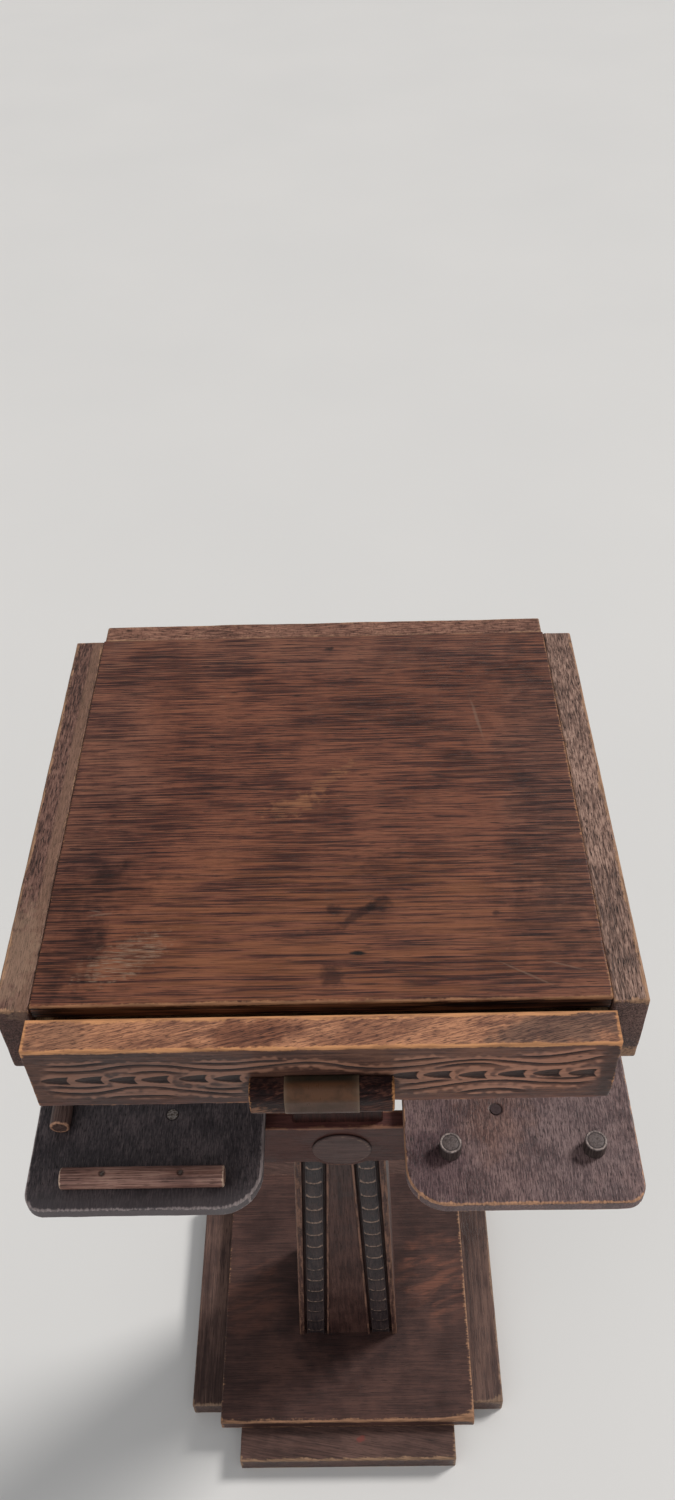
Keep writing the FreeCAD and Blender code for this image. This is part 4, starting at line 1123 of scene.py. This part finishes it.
# ---- trays ----
INNER_CORNER, OUTER_CORNER = 26.0, 12.5
SCREW_OUT, SCREW_APART, NAIL_OUT = 104.0, 73.5, 24.0


def dimples(points, centres, radius, depth, axes):
    """Small round dips around given centres, seen in the plane of two axes."""
    total = np.zeros(len(points))
    for a, b in centres:
        far = np.hypot(points[:, axes[0]] - a, points[:, axes[1]] - b)
        total += depth * smooth(radius - far, -0.6, 0.6)
    return total


def tray(side, sign, material, rub_edge, rub_front, rub_inner, chips=()):
    """A board with large corners towards the column and a dip round each screw."""
    node = "shelf_" + side
    low, high = box(node)
    screw_x = sign * SCREW_OUT - 0.8
    screws = [(screw_x, -SCREW_APART / 2), (screw_x, SCREW_APART / 2)]
    inner_x, outer_x = (low[X], high[X]) if sign > 0 else (high[X], low[X])

    def shape(points):
        for y, inward in ((low[Y], 1), (high[Y], -1)):
            points = turn_corner(points, (inner_x, y), (sign, inward), INNER_CORNER, (X, Y))
            points = turn_corner(points, (outer_x, y), (-sign, inward), OUTER_CORNER, (X, Y))
        top = points[:, Z] > high[Z] - 0.6
        points[:, Z] -= dimples(points, screws, 4.1, 0.7, (X, Y)) * top
        return points, dimples(points, screws, 4.6, 0.7, (X, Y)) * top

    def worn(points):
        front = points[:, Y] < low[Y] + 6
        inner = np.abs(points[:, X] - inner_x) < 14
        return rub_edge + rub_front * front + rub_inner * inner
    near = np.arange(-6, 6.1, 0.7)
    extra = (screw_x + near, [y + step for _, y in screws for step in near], ())
    board(node, material, radius=1.4, step=2.6, reach=0.85, wear=1.0,
          seed=81 + sign, chips=chips, shape=shape, worn=worn, extra=extra)


tray("left", -1, TRAY_LEFT, rub_edge=0.8, rub_front=0.05, rub_inner=0.7)
tray("right", 1, TRAY_RIGHT, rub_edge=0.8, rub_front=0.3, rub_inner=0.3,
     chips=[((70, -99.5, 415), (3, 2, 2), 0.5), ((96, -99.5, 415), (2, 2, 2), 0.6),
            ((118, -99.5, 415), (3, 2, 2), 0.5)])


def rod(side, along, material):
    """A dowel lying on the tray, with rubbed ends and a dip round each nail."""
    node = "shelf_rod_" + side
    low, high = box(node)
    radius = (high[Z] - low[Z]) / 2
    half = (high[along] - low[along]) / 2
    end = [(0.4, 0.3), (radius * 0.4, 0.3), (radius - 2.2, 0.25), (radius - 1.2, 0.05),
           (radius - 0.7, 0.1), (radius - 0.25, 0.4), (radius, 0.9), (radius, 1.5),
           (radius, 2.4)]
    profile = [(r, inset - half) for r, inset in end]
    profile += [(radius, h) for h in np.arange(3.4 - half, half - 3, 0.75)]
    profile += [(r, half - inset) for r, inset in reversed(end)]
    points, faces = turned(profile, 64, seed=95 + along, rough=0.12)
    first, second, length = points.T
    across, lift = (first, second) if along == X else (second, first)
    nails = [(-NAIL_OUT, 0.0), (NAIL_OUT, 0.0)]
    flat = xyz(length, across, 0)
    dip = dimples(flat, nails, 1.75, 0.9, (0, 1)) * (lift > 0)
    ring = dimples(flat, nails, 2.5, 0.55, (0, 1)) * (lift > 0)
    from_end = half - np.abs(length)
    rim = smooth(np.hypot(first, second), radius - 2.4, radius - 1.4)
    wear = np.maximum(np.exp(-(from_end / 1.1) ** 2) * rim * (0.85 + 0.4 * noise(points, 4, 97)),
                      0.09 * (lift > radius * 0.6) * (1 + noise(points, 8, 99)))
    lift = lift - dip
    lying = xyz(length, across, lift) if along == X else xyz(across, length, lift)
    make(node, lying + (low + high) / 2, faces, material, wear, ring)


def pin(number):
    """An upright dowel with a rubbed rim and a slightly dished top."""
    node = "spool_pin_%d" % number
    low, high = box(node)
    middle = (low + high) / 2
    radius = (high[X] - low[X]) / 2
    tall = high[Z] - low[Z]
    profile = [(radius - 0.3, 0.0), (radius, 0.3)]
    profile += [(radius, h) for h in np.arange(1.2, tall - 1.4, 1.1)]
    profile += [(radius - 0.8 + 0.8 * math.cos(turn), tall - 0.8 + 0.8 * math.sin(turn))
                for turn in quarter_turn(6)]
    profile += [(radius - 1.3, tall), (radius - 1.6, tall - 0.18), (radius - 1.95, tall - 0.22),
                (radius - 2.3, tall - 0.08), (2.4, tall - 0.15), (1.0, tall - 0.2),
                (0.3, tall - 0.2)]
    points, faces = turned(profile, 56, seed=101 + number, rough=0.10)
    reach = np.hypot(points[:, 0], points[:, 1])
    at_top = points[:, 2] > tall - 1.0
    wear = np.exp(-((reach - radius + 1.0) / 0.6) ** 2) * at_top
    wear *= 0.75 + 0.35 * noise(points + 31 * number, 4, 103)
    # A dark ring inside the rubbed rim of the top, and painted shade at the foot where the pin
    # stands on the tray.
    grime_and_shade = np.exp(-((reach - radius + 1.9) / 0.35) ** 2) * at_top * 0.9
    grime_and_shade += smooth(-points[:, 2], -1.2, 0.0) * 0.6
    make(node, points + [middle[X], middle[Y], low[Z]], faces, PIN, wear, grime_and_shade)


rod("front", X, ROD_ACROSS)
rod("back", X, ROD_ACROSS)
rod("side", Y, ROD_ALONG)
for number in range(1, 5):
    pin(number)


# ---- base ----
def base_wear(points):
    """Most wear on the front edges and some on the right ones."""
    front = points[:, Y] < points[:, Y].min() + 5
    right = points[:, X] > points[:, X].max() - 5
    return 0.36 + 0.85 * front + 0.5 * right * (1 - front)


board("base_board", BASE, radius=1.1, step=5.0, reach=1.4, wear=0.9,
      seed=111, worn=base_wear, chips=[((129, -90, 18), (7, 5, 4), 0.9)])
board("base_plate", PLATE, radius=1.1, step=4.0, reach=1.5, wear=1.0,
      seed=114, worn=base_wear,
      chips=[((98, -107.5, 32), (13, 5, 3.2), 2.6), ((105, -106, 31), (5, 5, 4), 1.5)])
board("base_step_front", STEP, radius=1.0, step=4.0, reach=1.3, wear=1.0,
      seed=117, worn=base_wear)
board("base_step_back", STEP, radius=1.0, step=4.0, reach=1.3, wear=0.8,
      seed=119)


# ---- CAD pieces that stay ----
BOARD_EDGE, METAL_EDGE = 0.4 * MM, 0.25 * MM
for node, material, width in (("drawer_side_left", BARE_ALONG, BOARD_EDGE),
                              ("drawer_side_right", BARE_ALONG, BOARD_EDGE),
                              ("drawer_back", BARE_ACROSS, BOARD_EDGE),
                              ("drawer_bottom", BARE_ACROSS, BOARD_EDGE),
                              ("rod_nails", NAIL_STEEL, METAL_EDGE),
                              ("shelf_screws", SCREW_STEEL, METAL_EDGE)):
    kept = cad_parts[node]
    kept.data.materials.clear()
    kept.data.materials.append(material)
    bevel = kept.modifiers.new("soft_edges", "BEVEL")
    bevel.width = width
    bevel.segments = 2
    bevel.limit_method = "ANGLE"


# ---- floor, light, camera ----
FLOOR_REACH = 30.0
CAMERA_PLACE = (0.0178, -0.42495, 1.1292)
CAMERA_PITCH, CAMERA_ROLL, CAMERA_YAW = 44.8375, -2.0092, -1.1922
LENS, SENSOR = 29.068, 36.0


def floor():
    """A pale, very faintly clouded floor under the table."""
    mesh = bpy.data.meshes.new("floor")
    corners = [(-1, -1, 0), (1, -1, 0), (1, 1, 0), (-1, 1, 0)]
    mesh.from_pydata([Vector(corner) * FLOOR_REACH for corner in corners], [], [(0, 1, 2, 3)])
    shader = Shader("pale_floor")
    tone = shader.mix(shader.grain(400, detail=3.0), (0.69, 0.69, 0.68), (0.74, 0.735, 0.72))
    shader.put(shader.surface.inputs["Base Color"], tone)
    shader.put(shader.surface.inputs["Roughness"], 0.6)
    mesh.materials.append(shader.material)
    placed("floor", mesh)


def soft_light(name, source, spread, power, colour):
    """Light from one direction, softened as if by a window of the given angle."""
    data = bpy.data.lights.new(name, "SUN")
    data.angle = math.radians(spread)
    data.energy = power
    data.color = colour
    placed(name, data).rotation_euler = Vector(source).to_track_quat("Z", "Y").to_euler()


def camera():
    """The view down on the table from in front, by about half a right angle."""
    data = bpy.data.cameras.new("camera")
    data.lens = LENS
    data.sensor_width = SENSOR
    data.clip_start = 0.01
    pose = Matrix.Translation(CAMERA_PLACE)
    for degrees, axis in ((-CAMERA_YAW, "Z"), (90 - CAMERA_PITCH, "X"), (CAMERA_ROLL, "Z")):
        pose = pose @ Matrix.Rotation(math.radians(degrees), 4, axis)
    eye = placed("camera", data)
    eye.matrix_world = pose
    bpy.context.scene.camera = eye


floor()
soft_light("window", (0.70, 0.38, 0.74), spread=15, power=2.25, colour=(1.0, 0.97, 0.94))
soft_light("room", (-0.35, -0.8, 0.75), spread=90, power=0.72, colour=(0.95, 0.97, 1.0))
world = bpy.data.worlds.new("studio")
world.use_nodes = True
background = world.node_tree.nodes["Background"].inputs
background["Color"].default_value = (0.83, 0.82, 0.82, 1)
background["Strength"].default_value = 0.39
bpy.context.scene.world = world
bpy.context.scene.view_settings.view_transform = "Standard"
camera()
